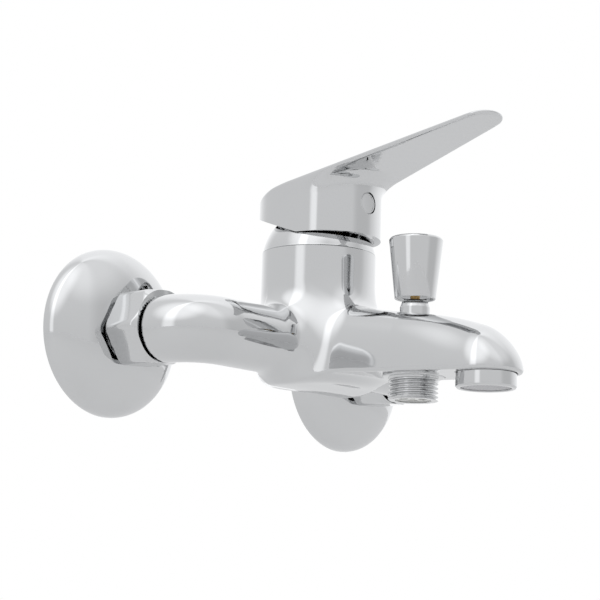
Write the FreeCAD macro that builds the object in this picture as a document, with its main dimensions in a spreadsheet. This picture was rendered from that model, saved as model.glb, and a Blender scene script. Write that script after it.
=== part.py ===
"""Wall mounted bath faucet: single-lever mixer with a spout, a pull-up diverter and a shower outlet.

Millimetres. Origin on the wall plane, midway between the two inlets.
X runs to the right along the wall, Y into the wall, Z up. The spout points to -Y.
"""
import FreeCAD, Part
import Sketcher
import os
import re

V = FreeCAD.Vector

# ---------------------------------------------------------------- driving dimensions
SIZES = {
    # wall connection
    "inlet_pitch": 150.0,            # between the two wall threads
    "wall_thread": 20.955,           # G1/2 outside diameter
    "nut_thread": 26.441,            # G3/4 outside diameter
    "wall_thread_length": 20.0,      # part of the eccentric union inside the wall
    "union_offset": 6.0,             # eccentricity, wall thread above the nut thread
    "union_shoulder": 3.0,           # start of the eccentric neck, from the wall
    "union_neck": 11.0,              # end of the eccentric neck, from the wall
    "union_reach": 25.4,             # sealing face, from the wall
    "union_bore": 15.0,
    "rose_diameter": 72.0,
    "rose_height": 16.9,
    "rose_rim": 1.0,
    "rose_wall": 1.0,
    "rose_hole": 27.4,
    "nut_across": 30.5,              # across flats
    "nut_turn": 4.0,                 # degrees, as tightened
    "nut_back": 17.6,                # from the wall
    "nut_front": 35.0,
    "nut_lip": 4.5,                  # thickness of the lip that holds the tail
    "nut_face": 30.8,                # diameter where the front chamfer ends
    "nut_chamfer": 3.4,
    "thread_gap": 0.25,              # radial, between a thread and its nut
    "fit_gap": 0.05,                 # radial, slip fits
    "seal_gap": 0.05,                # each side of a gasket
    "washer_thick": 2.1,
    "tail_flange": 2.5,
    "tail_diameter": 19.0,
    "tail_bore": 14.0,
    "tail_depth": 8.0,               # how far the tail enters the arm
    # body casting
    "barrel_setback": 52.3,          # barrel axis from the wall
    "barrel_diameter": 50.0,
    "barrel_top": 40.3,
    "barrel_foot": 17.3,             # bottom of the barrel below the inlet axis
    "barrel_foot_round": 5.0,
    "arm_start": 36.1,               # face of the arm, from the wall
    "arm_diameter": 28.4,
    "arm_drop": 1.2,                 # arm axis below the inlet axis
    "arm_bore": 15.0,
    "channel_end": 5.5,              # from the middle plane
    "nose_radius": 16.0,             # nose of the spout, in plan
    "nose_reach": 144.4,             # centre of the nose, from the wall
    "nose_top": 1.5,
    "nose_shoulder": 11.0,           # where the nose starts to curve in, below the inlet axis
    "spout_root_top": 19.0,          # top line, carried back to the barrel axis
    "spout_root_shoulder": 9.0,
    "spout_top": 9.7,                # top line at the diverter
    "spout_shoulder": 2.5,
    "spout_lean": 1.0,               # sides lean in by this much up to the shoulder
    "spout_foot_root": 14.0,         # underside below the inlet axis, at the barrel axis
    "spout_foot_tip": 18.6,          # underside below the inlet axis, at the nose
    "spout_root_width": 40.0,
    "spout_width": 34.0,
    "waterway": 9.0,
    "waterway_drop": 5.0,
    "passage": 4.8,
    # cartridge
    "cartridge_diameter": 34.6,
    "cartridge_gap": 0.3,
    "port_diameter": 5.6,
    "port_side": 8.5,
    "port_back": 3.0,
    "mixed_port_diameter": 7.2,
    "mixed_port_front": 8.0,
    "base_seal_section": 1.4,
    "base_thick": 4.0,
    "fixed_disc_thick": 3.2,
    "fixed_disc_diameter": 29.6,
    "moving_disc_diameter": 26.6,
    "moving_disc_thick": 3.2,
    "disc_gap": 0.1,
    "disc_travel": 3.8,
    "housing_wall": 1.8,
    "housing_roof": 2.5,
    "neck_diameter": 26.0,
    "rotor_diameter": 20.2,
    "rotor_flange": 25.0,
    "pivot_diameter": 3.0,
    "ball_diameter": 4.8,
    "shank_diameter": 3.4,
    "spindle_square": 8.0,
    "spindle_slot": 12.8,
    "cartridge_nut_thread": 41.0,
    "sleeve_foot": 49.6,             # diameter at the seam
    "sleeve_mouth": 35.0,
    "sleeve_wall": 1.6,
    "seam_gap": 0.15,
    # lever
    "lever_width": 49.6,             # oval base, across the blade
    "lever_length": 56.8,            # oval base, along the blade
    "lever_hollow_width": 46.6,
    "lever_wall": 1.5,
    "lever_rise": 12.35,             # degrees, top plane
    "lever_under": 2.9,              # blade thickness at the root
    "lever_taper": 0.5,              # degrees, underside to top plane
    "lever_tip": 97.3,               # tip, from the barrel axis
    "lever_root_width": 47.8,        # blade sides, carried back to the barrel axis
    "lever_tip_width": 20.4,
    "lever_tip_start": 89.0,         # start of the rounded tip, from the barrel axis
    "lever_throat_round": 6.0,       # under the blade, where it leaves the base
    "lever_cut": 19.6,               # degrees, tilt clearance at the back
    "lever_cut_start": 6.8,          # where the clearance starts, before the barrel axis
    "hub_diameter": 17.0,
    "screw_diameter": 5.0,
    "plug_diameter": 9.4,
    # diverter
    "diverter_reach": 107.5,         # diverter axis from the wall
    "chamber_diameter": 18.0,
    "seat_height": 0.0,
    "seat_thick": 1.6,
    "seat_hole": 10.4,
    "upper_chamber_top": 5.2,
    "bonnet_seat": 7.8,
    "bonnet_diameter": 12.7,
    "bonnet_shoulder": 12.0,
    "bonnet_top": 14.9,
    "bonnet_neck": 11.3,
    "bonnet_thread": 10.0,
    "stem_diameter": 4.0,
    "stem_seal_section": 1.5,
    "knob_bottom": 15.6,
    "knob_top": 41.7,
    "knob_foot": 17.3,
    "knob_head": 23.0,
    "knob_recess": 3.0,
    "plunger_diameter": 15.0,
    "plunger_thick": 2.0,
    "plunger_washer": 1.5,
    "plunger_washer_diameter": 13.6,
    "spring_wire": 0.8,
    "spring_diameter": 6.8,
    # shower outlet
    "outlet_top": 12.5,              # top of the nipple below the inlet axis
    "outlet_face": 16.3,
    "outlet_flange": 26.0,
    "outlet_flange_thick": 1.4,
    "outlet_bottom": 27.2,
    "outlet_wall": 1.4,              # of the nipple inside the diverter chamber
    "valve_travel": 2.0,
    # aerator
    "aerator_reach": 145.5,          # aerator axis from the wall
    "aerator_thread": 22.8,
    "aerator_wall": 0.5,
    "aerator_seat": 17.75,
    "aerator_diameter": 24.9,
    "aerator_bottom": 24.8,
    "aerator_lip": 20.8,
    "aerator_lip_thick": 0.6,
    "aerator_bore_top": 9.5,
    "mesh_thick": 0.5,
    "mesh_hole": 1.5,
}

# heights of the cartridge and the lever, measured from the top of the barrel
ABOVE_BARREL = {
    "chamber_floor": -31.3,
    "housing_top": -9.3,
    "neck_top": -3.8,
    "rotor_top": -1.8,
    "pivot_height": -6.3,
    "ball_height": -16.8,
    "spindle_top": 21.7,
    "cartridge_nut_top": 3.7,
    "sleeve_top": 13.2,
    "lever_bottom": 6.3,
    "lever_roof": 20.2,              # ceiling of the hollow
    "lever_crown": 29.1,             # top plane over the barrel axis
    "hub_bottom": 7.7,
    "screw_height": 20.2,
}

doc = FreeCAD.newDocument("bath_faucet")
sheet = doc.addObject("Spreadsheet::Sheet", "Sizes")
for row, (alias, size) in enumerate({**SIZES, **ABOVE_BARREL}.items(), start=1):
    sheet.set("A%d" % row, alias)
    sheet.set("B%d" % row, "%r" % size)
    sheet.setAlias("B%d" % row, alias)
doc.recompute()

parts = []


# ---------------------------------------------------------------- sketch and feature helpers
def bound(text):
    """Write a formula of size names as an expression on the spreadsheet."""
    def named(word):
        name = word.group()
        if name in ABOVE_BARREL:
            return "(Sizes.barrel_top+Sizes.%s)" % name
        return "Sizes." + name if name in SIZES else name
    return re.sub(r"[a-z][a-z_]+", named, text)


def measure(owner, text):
    return float(owner.evalExpression(bound(text)))


def new_body(label, x="0", y="0", z="0"):
    """A sub-part of its own, placed by formulas."""
    body = doc.addObject("PartDesign::Body", label)
    body.Label = label
    for axis, text in (("x", x), ("y", y), ("z", z)):
        body.setExpression(".Placement.Base." + axis, bound(text))
    parts.append(body)
    return body


def new_sketch(body, role, offset="0"):
    """A sketch on one of the body's origin planes; XZ offsets count towards -Y."""
    sketch = body.newObject("Sketcher::SketchObject", body.Label + "_sketch")
    plane = [item for item in body.Origin.OriginFeatures if item.Role == role][0]
    sketch.AttachmentSupport = [(plane, "")]
    sketch.MapMode = "FlatFace"
    sketch.setExpression(".AttachmentOffset.Base.z", bound(offset))
    return sketch


def pin_point(sketch, geometry, position, x, y):
    """Hold one point of the sketch at the place that two formulas give."""
    for kind, text in (("DistanceX", x), ("DistanceY", y)):
        index = sketch.addConstraint(
            Sketcher.Constraint(kind, -1, 1, geometry, position, measure(sketch, text)))
        sketch.setExpression("Constraints[%d]" % index, bound(text))


def add_outline(sketch, points):
    """A closed outline; a point with a third entry starts an arc through that place."""
    places = [V(measure(sketch, point[0]), measure(sketch, point[1]), 0) for point in points]
    ends = []
    for number, point in enumerate(points):
        start, finish = places[number], places[(number + 1) % len(points)]
        if len(point) == 2:
            edge = sketch.addGeometry(Part.LineSegment(start, finish))
        else:
            through = V(measure(sketch, point[2][0]), measure(sketch, point[2][1]), 0)
            edge = sketch.addGeometry(Part.Arc(start, through, finish))
            mark = sketch.addGeometry(Part.Point(through), True)
            pin_point(sketch, mark, 1, *point[2])
            sketch.addConstraint(Sketcher.Constraint("PointOnObject", mark, 1, edge))
        forward = sketch.getPoint(edge, 1).distanceToPoint(start) < 1e-6
        ends.append((edge, 1, 2) if forward else (edge, 2, 1))
    for number, point in enumerate(points):
        edge, first, last = ends[number]
        after, joined, spare = ends[(number + 1) % len(points)]
        sketch.addConstraint(Sketcher.Constraint("Coincident", edge, last, after, joined))
        pin_point(sketch, edge, first, point[0], point[1])


def add_circle(sketch, diameter, x="0", y="0"):
    centre = V(measure(sketch, x), measure(sketch, y), 0)
    radius = measure(sketch, diameter) / 2
    circle = sketch.addGeometry(Part.Circle(centre, V(0, 0, 1), radius))
    pin_point(sketch, circle, 3, x, y)
    index = sketch.addConstraint(Sketcher.Constraint("Diameter", circle, 2 * radius))
    sketch.setExpression("Constraints[%d]" % index, bound(diameter))


def add_ellipse(sketch, width, length):
    """An ellipse about the sketch's origin, longer along the vertical axis."""
    side = V(measure(sketch, width) / 2, 0, 0)
    end = V(0, measure(sketch, length) / 2, 0)
    ellipse = sketch.addGeometry(Part.Ellipse(end, side, V(0, 0, 0)))
    sketch.exposeInternalGeometry(ellipse)
    pin_point(sketch, ellipse, 3, "0", "0")
    for axis, place in ((ellipse + 1, end), (ellipse + 2, side)):
        corner = 1 if sketch.getPoint(axis, 1).distanceToPoint(place) < 1e-6 else 2
        if place is end:
            pin_point(sketch, axis, corner, "0", "(%s)/2" % length)
        else:
            index = sketch.addConstraint(Sketcher.Constraint("DistanceX", -1, 1, axis, corner, side.x))
            sketch.setExpression("Constraints[%d]" % index, bound("(%s)/2" % width))


def add_box(sketch, half_width, low, high):
    """A rectangle across the sketch's vertical axis."""
    add_outline(sketch, [(half_width, low), (half_width, high),
                         ("-(%s)" % half_width, high), ("-(%s)" % half_width, low)])


def extrude(body, kind, sketch, length, backwards=False, middle=False):
    """Pad or Pocket; a pocket runs against the sketch's normal unless it is backwards."""
    before = body.Shape.Volume if body.Tip else 0.0
    feature = body.newObject("PartDesign::" + kind, body.Label + "_" + kind.lower())
    feature.Profile = sketch
    feature.SideType = "Symmetric" if middle else "One side"
    feature.Reversed = backwards
    feature.setExpression("Length", bound(length))
    finish_feature(body, feature, before, kind == "Pad")
    return feature


def finish_feature(body, feature, before, adds):
    """Recompute and make sure that the feature added or removed material."""
    doc.recompute()
    change = body.Shape.Volume - before
    if (change <= 0) if adds else (change >= 0):
        raise ValueError("%s changed the volume by %.3f" % (feature.Name, change))


def turn(body, kind, points, role="XZ_Plane", offset="0"):
    """Revolution or Groove of an outline about the sketch's vertical axis."""
    before = body.Shape.Volume if body.Tip else 0.0
    sketch = new_sketch(body, role, offset)
    add_outline(sketch, points)
    feature = body.newObject("PartDesign::" + kind, body.Label + "_" + kind.lower())
    feature.Profile = sketch
    feature.ReferenceAxis = (sketch, ["V_Axis"])
    feature.Angle = 360
    finish_feature(body, feature, before, kind == "Revolution")
    return feature


def loft(body, kind, sketches):
    before = body.Shape.Volume if body.Tip else 0.0
    feature = body.newObject("PartDesign::" + kind, body.Label + "_loft")
    feature.Profile = sketches[0]
    feature.Sections = sketches[1:]
    finish_feature(body, feature, before, kind == "AdditiveLoft")
    return feature


def round_edges(body, choose, radius, kind="Fillet"):
    """Fillet or chamfer the edges of the last feature that choose() accepts."""
    base = body.Tip
    names = ["Edge%d" % (number + 1) for number, edge in enumerate(base.Shape.Edges) if choose(edge)]
    if not names:
        raise ValueError("no edge to round on " + body.Label)
    feature = body.newObject("PartDesign::" + kind, body.Label + "_" + kind.lower())
    feature.Base = (base, names)
    feature.setExpression("Radius" if kind == "Fillet" else "Size", bound(radius))
    doc.recompute()
    return feature


def turned_part(label, points, x="0", y="0", role="XZ_Plane"):
    """A piece that is one revolved outline."""
    body = new_body(label, x, y)
    turn(body, "Revolution", points, role)
    return body


def tube(outer, inner, low, high):
    """Outline of a plain ring: diameters and heights."""
    inner, outer = "(%s)/2" % inner, "(%s)/2" % outer
    return [(inner, low), (outer, low), (outer, high), (inner, high)]


def rod(diameter, low, high):
    return [("0", low), ("(%s)/2" % diameter, low), ("(%s)/2" % diameter, high), ("0", high)]


# ---------------------------------------------------------------- wall connection, left and right
def rose_edge(half_width, height, step):
    """A place on the domed profile, step in degrees from the rim to the crown."""
    return ("(%s)*cos(%s deg)" % (half_width, step), "-rose_rim-(%s)*sin(%s deg)" % (height, step))


def rose_end(half_width, height):
    return ("rose_hole/2", "-rose_rim-(%s)*sqrt(1-(rose_hole/2/(%s))^2)" % (height, half_width))


def make_s_union(label, x):
    """Eccentric union: wall thread, offset neck, nut thread and the bore through them."""
    body = new_body(label, x)
    wall_end = new_sketch(body, "XZ_Plane", "union_shoulder")
    add_circle(wall_end, "wall_thread", "0", "union_offset")
    extrude(body, "Pad", wall_end, "union_shoulder+wall_thread_length", backwards=True)
    neck_start = new_sketch(body, "XZ_Plane", "union_shoulder")
    add_circle(neck_start, "wall_thread+2", "0", "union_offset")
    neck_finish = new_sketch(body, "XZ_Plane", "union_neck")
    add_circle(neck_finish, "nut_thread")
    loft(body, "AdditiveLoft", [neck_start, neck_finish])
    nut_end = new_sketch(body, "XZ_Plane", "union_neck")
    add_circle(nut_end, "nut_thread")
    extrude(body, "Pad", nut_end, "union_reach-union_neck")
    front_bore = new_sketch(body, "XZ_Plane", "union_reach")
    add_circle(front_bore, "union_bore")
    extrude(body, "Pocket", front_bore, "union_reach-union_neck")
    bore_start = new_sketch(body, "XZ_Plane", "union_neck")
    add_circle(bore_start, "union_bore")
    bore_finish = new_sketch(body, "XZ_Plane", "union_shoulder")
    add_circle(bore_finish, "union_bore", "0", "union_offset")
    loft(body, "SubtractiveLoft", [bore_start, bore_finish])
    back_bore = new_sketch(body, "XZ_Plane", "union_shoulder")
    add_circle(back_bore, "union_bore", "0", "union_offset")
    extrude(body, "Pocket", back_bore, "union_shoulder+wall_thread_length")


def make_rose(label, x):
    """Pressed cover plate: a domed shell that hides the hole in the wall."""
    outer, outer_height = "rose_diameter/2", "rose_height-rose_rim"
    inner, inner_height = "rose_diameter/2-rose_wall", "rose_height-rose_rim-rose_wall"
    turned_part(label, [
        (outer, "0"),
        (outer, "-rose_rim", rose_edge(outer, outer_height, 14)),
        rose_edge(outer, outer_height, 30) + (rose_edge(outer, outer_height, 50),),
        rose_end(outer, outer_height),
        rose_end(inner, inner_height) + (rose_edge(inner, inner_height, 50),),
        rose_edge(inner, inner_height, 30) + (rose_edge(inner, inner_height, 14),),
        (inner, "-rose_rim"),
        (inner, "0"),
    ], x, role="XY_Plane")


def make_union_nut(label, x):
    """Hexagon nut with a chamfered face and an inner lip."""
    body = new_body(label, x)
    hexagon = new_sketch(body, "XZ_Plane", "nut_back")
    corner = "nut_across/sqrt(3)*%s((nut_turn+%d)*1 deg)"
    add_outline(hexagon, [(corner % ("cos", step), corner % ("sin", step)) for step in range(0, 360, 60)])
    extrude(body, "Pad", hexagon, "nut_front-nut_back")
    turn(body, "Groove", [("nut_face/2", "-nut_front"), ("nut_across", "-nut_front"),
                          ("nut_across", "-nut_front+nut_chamfer*2"),
                          ("nut_across/sqrt(3)", "-nut_front+nut_chamfer")], "XY_Plane")
    turn(body, "Groove", [("0", "-nut_back"), ("nut_thread/2+thread_gap", "-nut_back"),
                          ("nut_thread/2+thread_gap", "-nut_front+nut_lip"),
                          ("tail_diameter/2+thread_gap", "-nut_front+nut_lip"),
                          ("tail_diameter/2+thread_gap", "-nut_front"), ("0", "-nut_front")], "XY_Plane")


def make_tail(label, x):
    """Flanged bush that joins the arm to its union nut."""
    flange_back = "-union_reach-washer_thick-2*seal_gap"
    flange_front = flange_back + "-tail_flange"
    turned_part(label, [("tail_bore/2", flange_back), ("nut_thread/2-0.3", flange_back),
                        ("nut_thread/2-0.3", flange_front), ("tail_diameter/2", flange_front),
                        ("tail_diameter/2", "-arm_start-tail_depth"),
                        ("tail_bore/2", "-arm_start-tail_depth")], x, role="XY_Plane")


def make_washer(label, x):
    turned_part(label, tube("nut_thread-1", "union_bore", "-union_reach-seal_gap",
                            "-union_reach-seal_gap-washer_thick"), x, role="XY_Plane")


for side, x in (("left", "-inlet_pitch/2"), ("right", "inlet_pitch/2")):
    make_s_union(side + "_s_union", x)
    make_rose(side + "_escutcheon", x)
    make_union_nut(side + "_union_nut", x)
    make_tail(side + "_tail_bush", x)
    make_washer(side + "_inlet_washer", x)


# ---------------------------------------------------------------- body casting
def arm_path(body, sign, stop):
    """Open path of one arm: from the nut, round the elbow, to a stop near the middle."""
    sketch = new_sketch(body, "XY_Plane", "-arm_drop")
    bend = "(barrel_setback-arm_start)"
    side = "%s(inlet_pitch/2)" % sign
    turned = "%s(inlet_pitch/2-%s)" % (sign, bend)
    middle = ("%s(inlet_pitch/2-%s*(1-cos(45 deg)))" % (sign, bend), "-arm_start-%s*sin(45 deg)" % bend)
    places = [(side, "-arm_start"), middle, (turned, "-barrel_setback"),
              (sign + "(%s)" % stop, "-barrel_setback")]
    a, b, c, d = [V(measure(sketch, px), measure(sketch, py), 0) for px, py in places]
    elbow = sketch.addGeometry(Part.Arc(a, b, c))
    run = sketch.addGeometry(Part.LineSegment(c, d))
    mark = sketch.addGeometry(Part.Point(b), True)
    pin_point(sketch, mark, 1, *middle)
    sketch.addConstraint(Sketcher.Constraint("PointOnObject", mark, 1, elbow))
    first, last = (1, 2) if sketch.getPoint(elbow, 1).distanceToPoint(a) < 1e-6 else (2, 1)
    pin_point(sketch, elbow, first, *places[0])
    pin_point(sketch, elbow, last, *places[2])
    sketch.addConstraint(Sketcher.Constraint("Coincident", elbow, last, run, 1))
    pin_point(sketch, run, 2, *places[3])
    return sketch


def arm_pipe(body, kind, sign, diameter, stop):
    before = body.Shape.Volume
    section = new_sketch(body, "XZ_Plane", "arm_start")
    add_circle(section, diameter, sign + "(inlet_pitch/2)", "-arm_drop")
    feature = body.newObject("PartDesign::" + kind, body.Label + "_arm")
    feature.Profile = section
    feature.Spine = arm_path(body, sign, stop)
    finish_feature(body, feature, before, kind == "AdditivePipe")


def vertical(body, kind, diameter, low, high, y, x="0"):
    """A round pad or pocket between two heights, about a vertical axis."""
    sketch = new_sketch(body, "XY_Plane", high)
    add_circle(sketch, diameter, x, y)
    return extrude(body, kind, sketch, "(%s)-(%s)" % (high, low), backwards=kind == "Pad")


def spout_section(body, offset, width, foot, shoulder, top):
    """Cross-section: flat underside, leaning sides, crowned top."""
    sketch = new_sketch(body, "XZ_Plane", offset)
    side = "(%s)/2-spout_lean" % width
    add_outline(sketch, [
        ("-(%s)/2" % width, "-(%s)" % foot), ("(%s)/2" % width, "-(%s)" % foot),
        (side, shoulder, ("0", top)), ("-(%s)" % side, shoulder)])
    return sketch


def make_spout(body):
    """Three cross-sections joined, ending in a round nose."""
    foot = "spout_foot_root+(spout_foot_tip-spout_foot_root)*0.6"
    loft(body, "AdditiveLoft", [
        spout_section(body, "barrel_setback", "spout_root_width", "spout_foot_root",
                      "spout_root_shoulder", "spout_root_top"),
        spout_section(body, "diverter_reach", "spout_width", foot, "spout_shoulder", "spout_top"),
        spout_section(body, "nose_reach", "2*nose_radius", "spout_foot_tip", "-nose_shoulder", "nose_top")])
    rise = "(nose_top+nose_shoulder)"
    reach = "(nose_radius-spout_lean)"
    radius = "((%s^2+%s^2)/(2*%s))" % (rise, reach, rise)
    turn(body, "Revolution", [
        ("0", "nose_top"), ("0", "-spout_foot_tip"), ("nose_radius", "-spout_foot_tip"),
        (reach, "-nose_shoulder",
         ("%s/2" % reach, "nose_top-%s+sqrt(%s^2-(%s/2)^2)" % (radius, radius, reach)))],
        offset="nose_reach")


def make_body():
    """One brass casting: barrel, two arms with elbows, spout, and the waterways inside."""
    body = new_body("mixer_body")
    make_spout(body)
    corner = "barrel_foot_round*(1-cos(45 deg))"
    turn(body, "Revolution", [
        ("0", "barrel_top"), ("0", "-barrel_foot"),
        ("barrel_diameter/2-barrel_foot_round", "-barrel_foot",
         ("barrel_diameter/2-" + corner, "-barrel_foot+" + corner)),
        ("barrel_diameter/2", "-barrel_foot+barrel_foot_round"), ("barrel_diameter/2", "barrel_top")],
        offset="barrel_setback")
    for sign in ("-", "+"):
        arm_pipe(body, "AdditivePipe", sign, "arm_diameter", "0")
    # cartridge chamber, thread for its nut, and the three ports in its floor
    vertical(body, "Pocket", "cartridge_diameter+2*cartridge_gap", "chamber_floor",
             "barrel_top", "-barrel_setback")
    vertical(body, "Pocket", "cartridge_nut_thread+2*thread_gap", "housing_top",
             "barrel_top", "-barrel_setback")
    for sign in ("-", "+"):
        vertical(body, "Pocket", "port_diameter", "-arm_drop", "chamber_floor",
                 "-barrel_setback+port_back", sign + "port_side")
    vertical(body, "Pocket", "mixed_port_diameter", "-waterway_drop", "chamber_floor",
             "-barrel_setback-mixed_port_front")
    # arm channels and the sockets for the tail bushes
    for sign in ("-", "+"):
        arm_pipe(body, "SubtractivePipe", sign, "arm_bore", "channel_end")
        socket = new_sketch(body, "XZ_Plane", "arm_start+tail_depth+0.5")
        add_circle(socket, "tail_diameter+2*fit_gap", sign + "(inlet_pitch/2)", "0")
        extrude(body, "Pocket", socket, "tail_depth+0.5")
    # waterway to the diverter, diverter chambers, and the passage to the aerator
    waterway = new_sketch(body, "XZ_Plane", "diverter_reach")
    add_circle(waterway, "waterway", "0", "-waterway_drop")
    extrude(body, "Pocket", waterway, "diverter_reach-barrel_setback-mixed_port_front")
    vertical(body, "Pocket", "chamber_diameter+2*fit_gap", "-spout_foot_tip", "seat_height+seat_thick",
             "-diverter_reach")
    vertical(body, "Pocket", "chamber_diameter-1.6", "seat_height", "upper_chamber_top", "-diverter_reach")
    vertical(body, "Pocket", "bonnet_thread+2*fit_gap", "seat_height", "spout_root_top", "-diverter_reach")
    vertical(body, "Pocket", "bonnet_diameter+2*fit_gap", "bonnet_seat", "spout_root_top", "-diverter_reach")
    vertical(body, "Pocket", "outlet_flange+0.6", "-spout_foot_tip-1",
             "-outlet_face+seal_gap", "-diverter_reach")
    aerator_end = "-(aerator_bore_top-3)"
    start = new_sketch(body, "XZ_Plane", "diverter_reach+chamber_diameter/2-2.5")
    add_circle(start, "passage", "0", "seat_height+seat_thick+passage/2-0.5")
    finish = new_sketch(body, "XZ_Plane", "aerator_reach")
    add_circle(finish, "passage", "0", aerator_end + "-passage/2")
    loft(body, "SubtractiveLoft", [start, finish])
    vertical(body, "Pocket", "aerator_thread-8", "-aerator_bore_top-1", aerator_end, "-aerator_reach")
    vertical(body, "Pocket", "aerator_thread+2*fit_gap", "-spout_foot_tip-1",
             "-aerator_bore_top", "-aerator_reach")
    vertical(body, "Pocket", "aerator_diameter+1", "-spout_foot_tip-1",
             "-aerator_seat+seal_gap", "-aerator_reach")


make_body()


# ---------------------------------------------------------------- cartridge
AXIS = "-barrel_setback"
base_bottom = "(chamber_floor+base_seal_section)"
base_top = "(%s+base_thick)" % base_bottom
disc_top = "(%s+fixed_disc_thick)" % base_top
moving_low = "(%s+disc_gap)" % disc_top
moving_top = "(%s+moving_disc_thick)" % moving_low
carrier_low = "(%s+disc_gap)" % moving_top
carrier_top = "(ball_height+1.3)"


def cut_ports(body, low, high):
    """The two inlet ports and the mixed port, through one slice of the cartridge."""
    for x, y, diameter in (("-port_side", "port_back", "port_diameter"),
                           ("port_side", "port_back", "port_diameter"),
                           ("0", "-mixed_port_front", "mixed_port_diameter")):
        vertical(body, "Pocket", diameter, low, high, y, x)


def make_port_seals():
    """Three rubber rings between the chamber floor and the cartridge base."""
    rings = []
    for number, (x, y, diameter) in enumerate((("-port_side", "port_back", "port_diameter"),
                                               ("port_side", "port_back", "port_diameter"),
                                               ("0", "-mixed_port_front", "mixed_port_diameter"))):
        ring = doc.addObject("Part::Torus", "port_seal_%d" % (number + 1))
        ring.setExpression("Radius1", bound("%s/2+base_seal_section" % diameter))
        ring.setExpression("Radius2", bound("base_seal_section/2-seal_gap"))
        ring.setExpression(".Placement.Base.x", bound(x))
        ring.setExpression(".Placement.Base.y", bound("-barrel_setback+(%s)" % y))
        ring.setExpression(".Placement.Base.z", bound("chamber_floor+base_seal_section/2"))
        rings.append(ring)
    group = doc.addObject("Part::Compound", "port_seals")
    group.Label = "port_seals"
    group.Links = rings
    parts.append(group)


make_port_seals()

base = turned_part("cartridge_base", rod("cartridge_diameter", base_bottom, base_top), y=AXIS)
cut_ports(base, base_bottom, base_top)

fixed_disc = turned_part("fixed_ceramic_disc", rod("fixed_disc_diameter", base_top, disc_top), y=AXIS)
cut_ports(fixed_disc, base_top, disc_top)


def make_moving_disc():
    """Ceramic disc with a T-shaped mixing recess in its lower face."""
    body = new_body("moving_ceramic_disc", y=AXIS)
    vertical(body, "Pad", "moving_disc_diameter", moving_low, moving_top, "disc_travel/2")
    recess = new_sketch(body, "XY_Plane", moving_low)
    bar_back = "port_back+port_diameter+2.4"
    bar_front = "port_back+port_diameter/2+disc_travel/2-0.2"
    add_outline(recess, [
        ("3", "-mixed_port_front-1"), ("3", bar_front), ("7.5", bar_front), ("7.5", bar_back),
        ("-7.5", bar_back), ("-7.5", bar_front), ("-3", bar_front), ("-3", "-mixed_port_front-1")])
    extrude(body, "Pocket", recess, "moving_disc_thick/2", backwards=True)


def make_disc_carrier():
    """Plastic driver on top of the moving disc, with the socket for the spindle's ball."""
    body = new_body("disc_carrier", y=AXIS)
    vertical(body, "Pad", "moving_disc_diameter-1", carrier_low, carrier_top, "disc_travel/2")
    vertical(body, "Pocket", "ball_diameter+0.2", carrier_low, carrier_top, "0")


make_moving_disc()
make_disc_carrier()

inside = "cartridge_diameter/2-housing_wall"
roof = "(housing_top-housing_roof)"
turned_part("cartridge_housing", [
    (inside, base_top), ("cartridge_diameter/2", base_top), ("cartridge_diameter/2", "housing_top-seal_gap"),
    ("neck_diameter/2", "housing_top-seal_gap"), ("neck_diameter/2", "neck_top"),
    ("rotor_diameter/2+fit_gap", "neck_top"), ("rotor_diameter/2+fit_gap", roof), (inside, roof)], y=AXIS)


def make_rotor():
    """Turning guide in the housing's neck, slotted for the spindle and bored for its pin."""
    low = "%s+0.3" % carrier_top
    body = turned_part("cartridge_rotor", [
        ("0", low), ("rotor_flange/2", low), ("rotor_flange/2", roof + "-disc_gap"),
        ("rotor_diameter/2", roof + "-disc_gap"), ("rotor_diameter/2", "rotor_top"),
        ("0", "rotor_top")], y=AXIS)
    slot = new_sketch(body, "XY_Plane", "rotor_top")
    add_box(slot, "spindle_square/2+0.1", "-spindle_slot/2", "spindle_slot/2")
    extrude(body, "Pocket", slot, "rotor_top-(%s)" % low)
    pin_hole = new_sketch(body, "YZ_Plane")
    add_circle(pin_hole, "pivot_diameter+0.04", "0", "pivot_height")
    extrude(body, "Pocket", pin_hole, "rotor_flange*2", middle=True)


def make_pivot_pin():
    body = new_body("pivot_pin", y=AXIS)
    section = new_sketch(body, "YZ_Plane")
    add_circle(section, "pivot_diameter", "0", "pivot_height")
    extrude(body, "Pad", section, "rotor_diameter-1", middle=True)


def make_spindle():
    """Square stem for the lever, pin hole at the pivot, round shank and ball below."""
    body = new_body("lever_spindle", y=AXIS)
    turn(body, "Revolution", [
        ("0", "ball_height-ball_diameter/2", ("ball_diameter/2", "ball_height")),
        ("0", "ball_height+ball_diameter/2")])
    vertical(body, "Pad", "shank_diameter", "ball_height", "pivot_height-3.5", "0")
    square = new_sketch(body, "XY_Plane", "pivot_height-4")
    add_box(square, "spindle_square/2", "-spindle_square/2", "spindle_square/2")
    extrude(body, "Pad", square, "spindle_top-(pivot_height-4)")
    pin_hole = new_sketch(body, "YZ_Plane")
    add_circle(pin_hole, "pivot_diameter+0.1", "0", "pivot_height")
    extrude(body, "Pocket", pin_hole, "rotor_flange*2", middle=True)


make_rotor()
make_pivot_pin()
make_spindle()

turned_part("cartridge_nut", [
    ("neck_diameter/2+0.2", "housing_top"), ("cartridge_nut_thread/2", "housing_top"),
    ("cartridge_nut_thread/2", "barrel_top-0.6"), ("cartridge_nut_thread/2-2", "barrel_top-0.6"),
    ("cartridge_nut_thread/2-2", "cartridge_nut_top"), ("neck_diameter/2+0.2", "cartridge_nut_top")], y=AXIS)

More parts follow.
